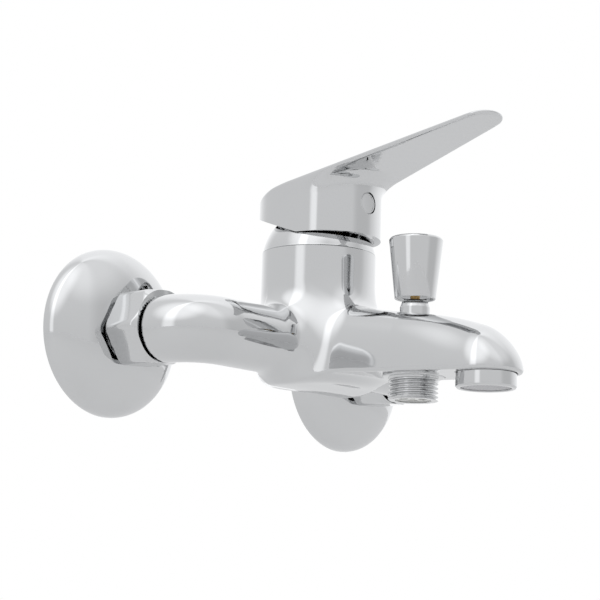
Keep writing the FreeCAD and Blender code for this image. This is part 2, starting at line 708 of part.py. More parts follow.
# domed trim ring: from the seam it curves in under the lever
seam = "barrel_top+seam_gap"
turned_part("dome_sleeve", [
    ("cartridge_nut_thread/2-2+fit_gap", seam), ("sleeve_foot/2", seam,
     ("sleeve_foot/2-1.9", "barrel_top+(sleeve_top-barrel_top)*0.5")),
    ("sleeve_mouth/2+3.2", "sleeve_top-2.4", ("sleeve_mouth/2+1.8", "sleeve_top-1.1")),
    ("sleeve_mouth/2", "sleeve_top"), ("sleeve_mouth/2", "sleeve_top-sleeve_wall"),
    ("sleeve_foot/2-2.4-sleeve_wall", "barrel_top+(sleeve_top-barrel_top)*0.5"),
    ("sleeve_foot/2-2.4-sleeve_wall", "cartridge_nut_top-0.5"),
    ("cartridge_nut_thread/2-2+fit_gap", "cartridge_nut_top-0.5")], y=AXIS)


# ---------------------------------------------------------------- lever
def make_lever():
    """Hollow round base with an inclined flat top that runs out into a thin tapered blade."""
    body = new_body("lever_handle", y=AXIS)
    slope = "tan(lever_rise*1 deg)"
    under_slope = "tan((lever_rise+lever_taper)*1 deg)"
    top = "lever_crown+lever_tip*%s+5" % slope
    plan = new_sketch(body, "XY_Plane", "lever_bottom")
    add_outline(plan, [
        ("lever_root_width/2", "0"), ("-lever_root_width/2", "0"),
        ("-lever_tip_width/2", "-lever_tip_start", ("-lever_tip_width/2*0.72", "-lever_tip+2.3")),
        ("0", "-lever_tip", ("lever_tip_width/2*0.72", "-lever_tip+2.3")),
        ("lever_tip_width/2", "-lever_tip_start")])
    extrude(body, "Pad", plan, "%s-lever_bottom" % top)
    below = new_sketch(body, "YZ_Plane")
    add_outline(below, [
        ("5", "lever_bottom-5"), ("5", "lever_crown-lever_under"),
        ("-lever_tip-5", "lever_crown-lever_under+(lever_tip+5)*%s" % under_slope),
        ("-lever_tip-5", "lever_bottom-5")])
    extrude(body, "Pocket", below, "lever_length*2", middle=True)
    base = new_sketch(body, "XY_Plane", "lever_bottom")
    add_ellipse(base, "lever_width", "lever_length")
    extrude(body, "Pad", base, "%s-lever_bottom" % top)
    above = new_sketch(body, "YZ_Plane")
    add_outline(above, [
        ("lever_length", "lever_crown-lever_length*%s" % slope),
        ("-lever_tip-5", "lever_crown+(lever_tip+5)*%s" % slope),
        ("-lever_tip-5", "%s+10" % top), ("lever_length", "%s+10" % top)])
    extrude(body, "Pocket", above, "lever_length*2", middle=True)
    round_edges(body, is_junction, "lever_throat_round")
    wedge = new_sketch(body, "YZ_Plane")
    add_outline(wedge, [
        ("-lever_cut_start", "lever_bottom"),
        ("lever_length", "lever_bottom+(lever_length+lever_cut_start)*tan(lever_cut*1 deg)"),
        ("lever_length", "lever_bottom-5"), ("-lever_cut_start", "lever_bottom-5")])
    extrude(body, "Pocket", wedge, "lever_length*2", middle=True)
    hollow = new_sketch(body, "XY_Plane", "lever_bottom")
    add_ellipse(hollow, "lever_hollow_width", "lever_length-2*lever_wall")
    add_circle(hollow, "hub_diameter")
    extrude(body, "Pocket", hollow, "lever_roof-lever_bottom", backwards=True)
    vertical(body, "Pocket", "hub_diameter+0.2", "lever_bottom", "hub_bottom", "0")
    web = new_sketch(body, "XY_Plane", "screw_height-screw_diameter")
    add_box(web, "screw_diameter", "-lever_length/2+1", "-hub_diameter/2+1")
    extrude(body, "Pad", web, "lever_roof-screw_height+screw_diameter+1")
    socket = new_sketch(body, "XY_Plane", "hub_bottom")
    add_box(socket, "spindle_square/2+fit_gap", "-spindle_square/2-fit_gap", "spindle_square/2+fit_gap")
    extrude(body, "Pocket", socket, "spindle_top+0.3-hub_bottom", backwards=True)
    bore = new_sketch(body, "XZ_Plane", "lever_length/2+1")
    add_circle(bore, "screw_diameter+2*fit_gap", "0", "screw_height")
    extrude(body, "Pocket", bore, "lever_length/2+1-spindle_square/2")
    recess = new_sketch(body, "XZ_Plane", "lever_length/2+1")
    add_circle(recess, "plug_diameter+2*fit_gap", "0", "screw_height")
    extrude(body, "Pocket", recess, "lever_wall+1")


def is_junction(edge):
    """The curve where the round base meets the underside of the blade."""
    box = edge.BoundBox
    half_width, half_length = SIZES["lever_width"] / 2, SIZES["lever_length"] / 2
    on_base = all(abs((p.x / half_width) ** 2 + (p.y / half_length) ** 2 - 1) < 0.01
                  for p in edge.discretize(7))
    return on_base and box.YMax < -0.2 * half_length and box.XLength > 20 and box.ZLength > 0.5 \
        and ABOVE_BARREL["lever_bottom"] + 5 < box.ZMin - SIZES["barrel_top"] \
        and box.ZMax - SIZES["barrel_top"] < ABOVE_BARREL["lever_crown"] + 5


make_lever()

screw = new_body("grub_screw", y=AXIS)
screw_profile = new_sketch(screw, "XZ_Plane", "spindle_square/2+0.05")
add_circle(screw_profile, "screw_diameter", "0", "screw_height")
extrude(screw, "Pad", screw_profile, "9")
key = new_sketch(screw, "XZ_Plane", "spindle_square/2+0.05+9")
add_outline(key, [("1.44*cos(%d deg)" % step, "screw_height+1.44*sin(%d deg)" % step)
                  for step in range(0, 360, 60)])
extrude(screw, "Pocket", key, "3")

plug = new_body("index_plug", y=AXIS)
plug_profile = new_sketch(plug, "XZ_Plane", "lever_length/2-lever_wall+0.1")
add_circle(plug_profile, "plug_diameter", "0", "screw_height")
extrude(plug, "Pad", plug_profile, "lever_wall-0.15")


# ---------------------------------------------------------------- diverter
DIVERTER = "-diverter_reach"
washer_low = "(-outlet_top+disc_gap)"
plunger_low = "(%s+plunger_washer)" % washer_low
plunger_high = "(%s+plunger_thick)" % plunger_low
washer_high = "(%s+plunger_washer)" % plunger_high

turned_part("diverter_knob", [
    ("0", "knob_top"), ("knob_head/2-1", "knob_top", ("knob_head/2-0.35", "knob_top-0.3")),
    ("knob_head/2-0.08", "knob_top-1.2"), ("knob_foot/2", "knob_bottom"), ("knob_foot/2-1", "knob_bottom"),
    ("knob_foot/2-1", "knob_bottom+knob_recess"), ("stem_diameter/2+fit_gap", "knob_bottom+knob_recess"),
    ("stem_diameter/2+fit_gap", "knob_top-9.9"), ("0", "knob_top-9.9")], y=DIVERTER)

groove = "stem_diameter/2+stem_seal_section"
turned_part("diverter_bonnet", [
    ("stem_diameter/2+fit_gap", "upper_chamber_top"), ("bonnet_thread/2", "upper_chamber_top"),
    ("bonnet_thread/2", "bonnet_seat+seal_gap"), ("bonnet_diameter/2", "bonnet_seat+seal_gap"),
    ("bonnet_diameter/2", "bonnet_shoulder"), ("bonnet_neck/2", "bonnet_top-0.6"),
    ("bonnet_neck/2-0.5", "bonnet_top"), ("stem_diameter/2+fit_gap", "bonnet_top"),
    ("stem_diameter/2+fit_gap", "bonnet_shoulder"), (groove, "bonnet_shoulder"),
    (groove, "bonnet_shoulder-stem_seal_section"),
    ("stem_diameter/2+fit_gap", "bonnet_shoulder-stem_seal_section")], y=DIVERTER)

seal = doc.addObject("Part::Torus", "stem_o_ring")
seal.Label = "stem_o_ring"
seal.setExpression("Radius1", bound("stem_diameter/2+stem_seal_section/2"))
seal.setExpression("Radius2", bound("stem_seal_section/2-0.06"))
seal.setExpression(".Placement.Base.y", bound(DIVERTER))
seal.setExpression(".Placement.Base.z", bound("bonnet_shoulder-stem_seal_section/2"))
parts.append(seal)

turned_part("diverter_stem", rod("stem_diameter", washer_low + "+0.2", "knob_top-10"), y=DIVERTER)
turned_part("diverter_plunger",
            tube("plunger_diameter", "stem_diameter+2*fit_gap", plunger_low, plunger_high),
            y=DIVERTER)
turned_part("lower_plunger_washer",
            tube("plunger_washer_diameter", "stem_diameter+2*fit_gap", washer_low, plunger_low), y=DIVERTER)
turned_part("upper_plunger_washer",
            tube("plunger_washer_diameter", "stem_diameter+2*fit_gap", plunger_high, washer_high),
            y=DIVERTER)
turned_part("diverter_seat", tube("chamber_diameter", "seat_hole", "seat_height", "seat_height+seat_thick"),
            y=DIVERTER)


def make_spring(label, y, diameter, wire, low, high, turns):
    """Round wire wound at an even pitch."""
    body = new_body(label, y=y)
    section = new_sketch(body, "XZ_Plane")
    add_circle(section, wire, "(%s)/2" % diameter, "(%s)+(%s)/2" % (low, wire))
    coil = body.newObject("PartDesign::AdditiveHelix", label + "_coil")
    coil.Profile = section
    coil.ReferenceAxis = (section, ["V_Axis"])
    coil.Mode = "pitch-height-angle"
    coil.setExpression("Pitch", bound("((%s)-(%s)-(%s))/%s" % (high, low, wire, turns)))
    coil.setExpression("Height", bound("(%s)-(%s)-(%s)" % (high, low, wire)))
    doc.recompute()


make_spring("diverter_spring", DIVERTER, "spring_diameter", "spring_wire",
            washer_high + "+0.1", "upper_chamber_top-0.1", 5)

# ---------------------------------------------------------------- shower outlet and its check valve
bore = "(chamber_diameter/2-outlet_wall)"
turned_part("shower_outlet", [
    ("seat_hole/2", "-outlet_top"), ("chamber_diameter/2", "-outlet_top"),
    ("chamber_diameter/2", "-outlet_face"),
    ("outlet_flange/2", "-outlet_face"), ("outlet_flange/2", "-outlet_face-outlet_flange_thick"),
    ("wall_thread/2", "-outlet_face-outlet_flange_thick"), ("wall_thread/2", "-outlet_bottom"),
    (bore, "-outlet_bottom"), (bore, "-outlet_top-1.5"), ("seat_hole/2", "-outlet_top-1.5")], y=DIVERTER)

valve_top = "(-outlet_top-1.6)"
valve_low = "(-outlet_bottom+0.7)"


def make_valve_body():
    """Plastic cage: seat at the top, a cross at the bottom that guides the poppet."""
    body = turned_part("check_valve_body", [
        ("3.6", valve_top), (bore + "-fit_gap", valve_top), (bore + "-fit_gap", valve_low),
        (bore + "-1.4", valve_low), (bore + "-1.4", valve_top + "-2"), ("3.6", valve_top + "-2")],
        y=DIVERTER)
    for long_way in (True, False):
        bar = new_sketch(body, "XY_Plane", valve_low)
        width, reach = "0.7", "(" + bore + "-1)"
        if long_way:
            add_box(bar, width, "-" + reach, reach)
        else:
            add_box(bar, reach, "-" + width, width)
        extrude(body, "Pad", bar, "1.6")
    vertical(body, "Pad", "4.4", valve_low, valve_low + "+1.6", "0")
    vertical(body, "Pocket", "2.2", valve_low, valve_low + "+1.6", "0")


make_valve_body()
poppet_top = valve_top + "-2.1"
turned_part("check_valve_poppet", [
    ("0", poppet_top), (bore + "-2.7", poppet_top), (bore + "-2.7", poppet_top + "-1.4"),
    ("1", poppet_top + "-1.4"),
    ("1", "-outlet_bottom+valve_travel"), ("0", "-outlet_bottom+valve_travel")], y=DIVERTER)
make_spring("check_valve_spring", DIVERTER, "5.4", "0.5", valve_low + "+1.7", poppet_top + "-1.5", 4)

# ---------------------------------------------------------------- aerator
AERATOR = "-aerator_reach"
inner = "aerator_thread/2-aerator_wall"
turned_part("aerator_ring", [
    (inner, "-aerator_bore_top-2.9"), ("aerator_thread/2", "-aerator_bore_top-2.9"),
    ("aerator_thread/2", "-aerator_seat-seal_gap"), ("aerator_diameter/2", "-aerator_seat-seal_gap"),
    ("aerator_diameter/2", "-aerator_bottom+0.5"), ("aerator_diameter/2-0.5", "-aerator_bottom"),
    ("aerator_lip/2", "-aerator_bottom"), ("aerator_lip/2", "-aerator_bottom+aerator_lip_thick"),
    (inner, "-aerator_bottom+aerator_lip_thick")], y=AERATOR)
mesh_low = "(-aerator_bottom+aerator_lip_thick+0.02)"
insert_low = "(%s+mesh_thick+0.02)" % mesh_low


def make_mesh():
    """Perforated outlet plate: three rings of holes about one in the middle."""
    body = turned_part("aerator_mesh", rod("2*(%s-fit_gap)" % inner, mesh_low, mesh_low + "+mesh_thick"),
                       y=AERATOR)
    vertical(body, "Pocket", "mesh_hole", mesh_low, mesh_low + "+mesh_thick", "0")
    for ring, count in ((1, 6), (2, 12), (3, 18)):
        hole = vertical(body, "Pocket", "mesh_hole", mesh_low, mesh_low + "+mesh_thick",
                        "%d*(aerator_lip/2-mesh_hole)/3" % ring)
        pattern = body.newObject("PartDesign::PolarPattern", "mesh_ring_%d" % ring)
        pattern.Originals = [hole]
        pattern.Axis = ([item for item in body.Origin.OriginFeatures if item.Role == "Z_Axis"][0], [""])
        pattern.Angle = 360
        pattern.Occurrences = count
        body.Tip = pattern
        doc.recompute()


make_mesh()


def make_insert():
    """Plastic flow straightener: a cup with a perforated top and four ribs."""
    body = turned_part("aerator_insert", [
        ("0", "-aerator_bore_top-5"), (inner + "-fit_gap", "-aerator_bore_top-5"),
        (inner + "-fit_gap", insert_low), (inner + "-1.1", insert_low),
        (inner + "-1.1", "-aerator_bore_top-6.5"), ("0", "-aerator_bore_top-6.5")], y=AERATOR)
    for long_way in (True, False):
        rib = new_sketch(body, "XY_Plane", insert_low)
        reach = "(%s-0.6)" % inner
        if long_way:
            add_box(rib, "0.5", "-" + reach, reach)
        else:
            add_box(rib, reach, "-0.5", "0.5")
        extrude(body, "Pad", rib, "-aerator_bore_top-6-(%s)" % insert_low)
    hole = vertical(body, "Pocket", "2", "-aerator_bore_top-6.5", "-aerator_bore_top-5", "5", "2.5")
    pattern = body.newObject("PartDesign::PolarPattern", "insert_holes")
    pattern.Originals = [hole]
    pattern.Axis = ([item for item in body.Origin.OriginFeatures if item.Role == "Z_Axis"][0], [""])
    pattern.Angle = 360
    pattern.Occurrences = 8
    body.Tip = pattern
    doc.recompute()


make_insert()
turned_part("aerator_gasket", tube("aerator_thread-0.4", "aerator_thread-7", "-aerator_bore_top-2.8",
                                   "-aerator_bore_top-0.1"), y=AERATOR)

# ---------------------------------------------------------------- check and export
doc.recompute()
for item in doc.Objects:
    if "Invalid" in item.State or "Error" in item.State:
        raise ValueError("%s (%s) failed: %s" % (item.Name, item.Label, item.State))
os.makedirs("parts", exist_ok=True)
for item in parts:
    shape = item.Shape
    if shape.isNull() or not shape.isValid() or not shape.Solids:
        raise ValueError(item.Label + " has no valid solid")
    shape.exportStep(os.path.join("parts", item.Label + ".step"))
    print("%-22s %2d solids %10.1f mm3" % (item.Label, len(shape.Solids), shape.Volume))
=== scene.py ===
import math

import bpy
import numpy as np
from mathutils import Matrix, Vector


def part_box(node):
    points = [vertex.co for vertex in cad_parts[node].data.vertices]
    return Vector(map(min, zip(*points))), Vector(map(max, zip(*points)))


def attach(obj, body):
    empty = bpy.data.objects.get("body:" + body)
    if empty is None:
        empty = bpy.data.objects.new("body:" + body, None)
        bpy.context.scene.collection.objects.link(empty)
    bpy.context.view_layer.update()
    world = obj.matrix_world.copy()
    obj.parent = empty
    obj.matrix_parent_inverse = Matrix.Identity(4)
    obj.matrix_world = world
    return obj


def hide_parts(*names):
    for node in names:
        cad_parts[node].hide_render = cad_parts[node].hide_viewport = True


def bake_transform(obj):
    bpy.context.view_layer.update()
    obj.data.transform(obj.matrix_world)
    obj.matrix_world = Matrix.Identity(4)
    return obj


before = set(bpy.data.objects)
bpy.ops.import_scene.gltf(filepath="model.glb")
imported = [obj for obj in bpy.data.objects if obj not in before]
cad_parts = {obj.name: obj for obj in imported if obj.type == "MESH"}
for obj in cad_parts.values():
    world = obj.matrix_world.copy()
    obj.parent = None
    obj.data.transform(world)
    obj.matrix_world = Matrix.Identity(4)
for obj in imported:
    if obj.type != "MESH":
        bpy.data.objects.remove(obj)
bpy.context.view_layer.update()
mm = 0.001  # everything below is worked out in millimetres and written in metres


def boxOf(node):
    # lowest and highest corner of a node, in millimetres
    low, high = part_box(node)
    return np.array(low) / mm, np.array(high) / mm


# the camera
camera = {
    "place": (-652.42, -647.48, -138.01),
    "heading": -47.124,   # degrees from the wall's normal
    "pitch": 10.183,
    "roll": 1.713,
    "lens": 123.01,
    "sensor": 36.0,
    "nearest": 0.05,      # metres
    "farthest": 20.0,
}


def makeCamera():
    heading, pitch, roll = (math.radians(camera[key]) for key in ("heading", "pitch", "roll"))
    right = np.array([math.cos(heading), math.sin(heading), 0])
    ahead = np.array([-math.sin(heading) * math.cos(pitch), math.cos(heading) * math.cos(pitch),
                      math.sin(pitch)])
    upward = np.cross(right, ahead)
    side = right * math.cos(roll) + upward * math.sin(roll)
    top = upward * math.cos(roll) - right * math.sin(roll)
    data = bpy.data.cameras.new("camera")
    data.lens, data.sensor_width = camera["lens"], camera["sensor"]
    data.clip_start, data.clip_end = camera["nearest"], camera["farthest"]
    lookout = bpy.data.objects.new("camera", data)
    pose = np.eye(4)
    pose[:3, 0], pose[:3, 1], pose[:3, 2] = side, top, -ahead
    pose[:3, 3] = np.array(camera["place"]) * mm
    lookout.matrix_world = Matrix(pose.tolist())
    bpy.context.scene.collection.objects.link(lookout)
    bpy.context.scene.camera = lookout


makeCamera()
print("camera ready")


# shader helpers
class Signal:
    # one output of a node; arithmetic on it adds Math nodes
    def __init__(self, finish, socket):
        self.finish, self.socket = finish, socket

    def combine(self, operation, first, second):
        return self.finish.add("ShaderNodeMath", {"operation": operation}, {0: first, 1: second})

    def __add__(self, other):
        return self.combine("ADD", self, other)

    def __mul__(self, other):
        return self.combine("MULTIPLY", self, other)

    __radd__, __rmul__ = __add__, __mul__


class Wiring:
    # a node tree that adds a node from its type, its settings and the values or links of its sockets
    def __init__(self, tree):
        self.tree = tree

    def add(self, kind, settings=None, values=None, out=0):
        node = self.tree.nodes.new(kind)
        for key, value in (settings or {}).items():
            if key == "stops":
                ramp = node.color_ramp
                while len(ramp.elements) < len(value):
                    ramp.elements.new(0.5)
                for element, (position, shade) in zip(ramp.elements, value):
                    element.position = position
                    element.color = (shade, shade, shade, 1)
            else:
                setattr(node, key, value)
        for key, value in (values or {}).items():
            if isinstance(value, Signal):
                self.tree.links.new(value.socket, node.inputs[key])
            else:
                node.inputs[key].default_value = value
        return Signal(self, node.outputs[out])


class Finish(Wiring):
    # a material with one Principled shader; fixed keys set the shader's own sockets
    def __init__(self, name, **fixed):
        self.material = bpy.data.materials.new(name)
        self.material.use_nodes = True
        super().__init__(self.material.node_tree)
        self.shader = self.tree.nodes["Principled BSDF"]
        for key, value in fixed.items():
            self.shader.inputs[key.replace("_", " ")].default_value = value
        self.place = self.add("ShaderNodeTexCoord", out="Object")

    def noise(self, scale, detail=3.0, rough=0.5, stretch=None):
        place = self.place
        if stretch:
            place = self.add("ShaderNodeMapping", None, {0: place, "Scale": stretch})
        return self.add("ShaderNodeTexNoise", None,
                        {"Vector": place, "Scale": scale, "Detail": detail, "Roughness": rough}, "Fac")

    def ramp(self, signal, *stops):
        return self.add("ShaderNodeValToRGB", {"stops": stops}, {0: signal}, "Color")

    def mixed(self, signal, first, second):
        return self.add("ShaderNodeMix", {"data_type": "RGBA"},
                        {0: signal, 6: first + (1,), 7: second + (1,)}, 2)

    def bump(self, height, strength, distance):
        return self.add("ShaderNodeBump", None,
                        {"Height": height, "Strength": strength, "Distance": distance}, "Normal")

    def feed(self, **signals):
        for key, signal in signals.items():
            self.tree.links.new(signal.socket, self.shader.inputs[key.replace("_", " ")])
        return self.material


# finishes
plating = {
    "drift": (38, 2), "wiping": (160, 4, 0.6, (1.0, 1.0, 0.25)), "specks": (900, 2), "waves": (55, 1),
    "speckStops": ((0.70, 0.0), (0.80, 1.0)), "wipeStops": ((0.35, 0.0), (0.75, 1.0)), "shade": 0.965,
    "gloss": 0.045, "wipeGloss": 0.035, "speckGloss": 0.05, "wipeRelief": 0.04, "depth": 0.0006,
}


def makeChrome(name, tint, waviness):
    # mirror plating: faint colour drift, wiping marks in the gloss, slow waves of the polished casting
    p, finish = plating, Finish(name, Metallic=1.0)
    drift = finish.noise(*p["drift"])
    wiping = finish.noise(*p["wiping"])
    specks = finish.ramp(finish.noise(*p["specks"]), *p["speckStops"])
    colour = finish.mixed(drift, tint, tuple(p["shade"] * value for value in tint))
    gloss = finish.ramp(wiping, *p["wipeStops"]) * p["wipeGloss"] + specks * p["speckGloss"] + p["gloss"]
    waves = finish.bump(finish.noise(*p["waves"]) + wiping * p["wipeRelief"], waviness, p["depth"])
    return finish.feed(Base_Color=colour, Roughness=gloss, Normal=waves)


brass = {
    "stain": (120, 5, 0.65), "turning": (300, 2, 0.5, (0.2, 6.0, 0.2)), "light": (0.72, 0.49, 0.20),
    "dark": (0.50, 0.33, 0.14), "gloss": 0.2, "turningGloss": 0.25, "relief": 0.25, "depth": 0.0002,
}


def makeBrass():
    finish = Finish("rawBrass", Metallic=1.0)
    stain = finish.noise(*brass["stain"])
    turning = finish.noise(*brass["turning"])
    colour = finish.mixed(stain, brass["light"], brass["dark"])
    return finish.feed(Base_Color=colour, Roughness=turning * brass["turningGloss"] + brass["gloss"],
                       Normal=finish.bump(turning, brass["relief"], brass["depth"]))


def makePlain(name, light, dark, gloss, grain, relief, **fixed):
    # moulded, pressed or sintered stock: two tones over a fine grain that also shows in gloss and relief
    finish = Finish(name, **fixed)
    fine = finish.noise(grain, 4, 0.6)
    broad = finish.noise(grain / 14, 2)
    colour = finish.mixed(broad * 0.6 + fine * 0.4, light, dark)
    return finish.feed(Base_Color=colour, Roughness=fine * 0.18 + gloss,
                       Normal=finish.bump(fine, relief, 0.0001))


finishes = {
    "chrome": makeChrome("chrome", (0.655, 0.66, 0.665), 0.05),
    "chrome_plastic": makeChrome("chromedPlastic", (0.66, 0.665, 0.67), 0.03),
    "raw_brass": makeBrass(),
    "black_rubber": makePlain("blackRubber", (0.022, 0.022, 0.024), (0.012, 0.012, 0.013), 0.5, 1400, 0.5),
    "ceramic": makePlain("ceramic", (0.83, 0.80, 0.74), (0.78, 0.75, 0.69), 0.15, 2200, 0.1),
    "white_plastic": makePlain("whitePlastic", (0.80, 0.80, 0.78), (0.74, 0.74, 0.72), 0.3, 900, 0.15),
    "grey_plastic": makePlain("greyPlastic", (0.20, 0.21, 0.22), (0.15, 0.155, 0.16), 0.35, 900, 0.2),
    "steel": makePlain("steel", (0.60, 0.60, 0.61), (0.50, 0.50, 0.51), 0.2, 1600, 0.2, Metallic=1.0),
}
print("finishes ready")


# mesh helpers
creaseAngle = 38  # degrees


def makePiece(name, points, faces, body, nodes, slot, crease=creaseAngle):
    # points in millimetres; a closed skin, welded, turned outwards, smooth except past the crease angle
    mesh = bpy.data.meshes.new(name)
    mesh.from_pydata((np.asarray(points) * mm).tolist(), [], np.asarray(faces).tolist())
    piece = bpy.data.objects.new(name, mesh)
    bpy.context.scene.collection.objects.link(piece)
    weld = piece.modifiers.new("weld", "WELD")
    weld.merge_threshold = 2e-6
    applyModifiers(piece)
    turnOutwards(piece.data)
    shade(piece.data, crease)
    piece.data.materials.append(finishes[slot])
    if body:
        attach(piece, body)
        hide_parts(*nodes)
    return piece


def applyModifiers(piece):
    graph = bpy.context.evaluated_depsgraph_get()
    graph.update()
    done = bpy.data.meshes.new_from_object(piece.evaluated_get(graph))
    piece.modifiers.clear()
    old, piece.data = piece.data, done
    bpy.data.meshes.remove(old)
    done.name = piece.name


def turnOutwards(mesh):
    # the sum of the cones from the origin to each triangle is the volume, negative when inside out
    mesh.calc_loop_triangles()
    places = np.empty(len(mesh.vertices) * 3)
    mesh.vertices.foreach_get("co", places)
    corners = np.empty(len(mesh.loop_triangles) * 3, int)
    mesh.loop_triangles.foreach_get("vertices", corners)
    a, b, c = places.reshape(-1, 3)[corners.reshape(-1, 3)].transpose(1, 0, 2)
    if np.einsum("ij,ij->", a, np.cross(b, c)) < 0:
        mesh.flip_normals()


def shade(mesh, crease):
    mesh.polygons.foreach_set("use_smooth", np.ones(len(mesh.polygons), bool))
    mesh.set_sharp_from_angle(angle=math.radians(crease))
    mesh.update()


def shadeFrom(piece, field, reach=0.05, agree=0.8):
    # shading directions are the slope of the surface itself wherever a face corner lies on it
    mesh = piece.data
    points = np.empty(len(mesh.vertices) * 3)
    mesh.vertices.foreach_get("co", points)
    points = points.reshape(-1, 3) / mm
    slope = np.stack([field(points + unit) - field(points - unit) for unit in np.eye(3) * reach], -1)
    slope /= np.maximum(np.linalg.norm(slope, axis=-1, keepdims=True), 1e-9)
    near = np.abs(field(points)) < reach
    corners = np.empty(len(mesh.loops), int)
    mesh.loops.foreach_get("vertex_index", corners)
    current = np.empty(len(corners) * 3)
    mesh.corner_normals.foreach_get("vector", current)
    current = current.reshape(-1, 3)
    chosen = near[corners] & ((slope[corners] * current).sum(-1) > agree)
    mesh.normals_split_custom_set(np.where(chosen[:, None], slope[corners], current).tolist())


def gridFaces(rows, columns, closedRows):
    # four-sided faces of a grid whose columns always join up
    row = np.arange(rows if closedRows else rows - 1)[:, None]
    column = np.arange(columns)[None, :]
    nextRow, nextColumn = (row + 1) % rows, (column + 1) % columns
    return np.stack([row * columns + column, row * columns + nextColumn,
                     nextRow * columns + nextColumn, nextRow * columns + column], -1).reshape(-1, 4)


def outline(*corners, arcSteps=7):
    # a profile of (radius, height, rounding) corners, each corner replaced by a tangent arc
    count, points = len(corners), []
    for number, corner in enumerate(corners):
        here = np.array(corner[:2], float)
        rounding = corner[2] if len(corner) > 2 else 0
        before = np.array(corners[number - 1][:2], float) - here
        after = np.array(corners[(number + 1) % count][:2], float) - here
        lengths = np.linalg.norm(before), np.linalg.norm(after)
        if not rounding or min(lengths) < 1e-9:
            points.append(here)
            continue
        before, after = before / lengths[0], after / lengths[1]
        half = math.acos(np.clip(before @ after, -1, 1)) / 2
        reach = min(rounding / math.tan(half), 0.48 * min(lengths))
        radius = reach * math.tan(half)
        centre = here + (before + after) / np.linalg.norm(before + after) * (radius / math.sin(half))
        first, last = here + before * reach - centre, here + after * reach - centre
        for share in np.linspace(0, 1, arcSteps):
            chord = first * (1 - share) + last * share
            points.append(centre + chord / np.linalg.norm(chord) * radius)
    return np.array(points)


def curve(first, middle, last, steps):
    # places on the circle through three points, the first and last left out
    (ax, ay), (bx, by), (cx, cy) = first, middle, last
    scale = 2 * (ax * (by - cy) + bx * (cy - ay) + cx * (ay - by))
    a2, b2, c2 = ax * ax + ay * ay, bx * bx + by * by, cx * cx + cy * cy
    centre = np.array([a2 * (by - cy) + b2 * (cy - ay) + c2 * (ay - by),
                       a2 * (cx - bx) + b2 * (ax - cx) + c2 * (bx - ax)]) / scale
    start, finish = (math.atan2(y - centre[1], x - centre[0]) for x, y in (first, last))
    turn = (finish - start + math.pi) % (2 * math.pi) - math.pi
    radius = math.dist(first, centre)
    angles = start + turn * np.linspace(0, 1, steps)[1:-1]
    return [(centre[0] + radius * math.cos(angle), centre[1] + radius * math.sin(angle))
            for angle in angles]


def turned(profile, axis, centre, segments=160, closed=True):
    # each profile row (radius, height) becomes a circle about the axis: "up", or "out" from the wall
    angle = np.linspace(0, 2 * math.pi, segments, endpoint=False)[None, :]
    radius, height = profile[:, 0][:, None], profile[:, 1][:, None]
    return place(radius * np.cos(angle), radius * np.sin(angle), height + 0 * angle, axis, centre), \
        gridFaces(len(profile), segments, closed)


def place(first, second, along, axis, centre):
    # about a vertical axis, or about one that runs from the wall towards the room
    columns = (first, second, along) if axis == "up" else (first, -along, second)
    return (np.stack(columns, -1) + np.array(centre)).reshape(-1, 3)


thread = {"pitch": 1.814, "depth": 1.16, "radius": 10.4775, "steepness": 1.35, "flat": 0.175, "lead": 1.2}


def threaded(profile, pitch, depth, low, high, axis, centre, segments=112):
    # rows of circles whose radius follows a 55 degree thread, one rise per pitch and per turn
    angle = np.linspace(0, 2 * math.pi, segments, endpoint=False)[None, :]
    radius, height = profile[:, 0][:, None], profile[:, 1][:, None]
    phase = (height / pitch - angle / (2 * math.pi)) % 1.0
    tooth = np.clip(np.abs(phase * 2 - 1) * thread["steepness"] - thread["flat"], 0, 1)
    tooth = tooth * tooth * (3 - 2 * tooth)
    fade = np.clip((height - low) / pitch, 0, 1) * np.clip((high - height) / pitch, 0, 1)
    onThread = (profile[:, 2] > 0)[:, None]
    radius = radius - np.where(onThread, depth * (1 - tooth) * fade, 0)
    return place(radius * np.cos(angle), radius * np.sin(angle), height + 0 * angle, axis, centre), \
        gridFaces(len(profile), segments, True)


# level surfaces
def roundMax(a, b, size):
    # the larger of two fields, with the crease between them rounded off
    overlap = np.maximum(size - np.abs(a - b), 0) / size
    return np.maximum(a, b) + overlap ** 2 * size / 4


def roundMin(a, b, size):
    return -roundMax(-a, -b, size)


def settle(points, field, rounds=5):
    # moves points down the field's slope until they lie on its zero surface
    step = 0.01
    for _ in range(rounds):
        slope = np.stack([field(points + unit) - field(points - unit) for unit in np.eye(3) * step], -1)
        slope /= 2 * step
        value = field(points)[:, None]
        points = points - slope * np.clip(value, -1, 1) / np.maximum((slope ** 2).sum(-1), 1e-3)[:, None]
    return points


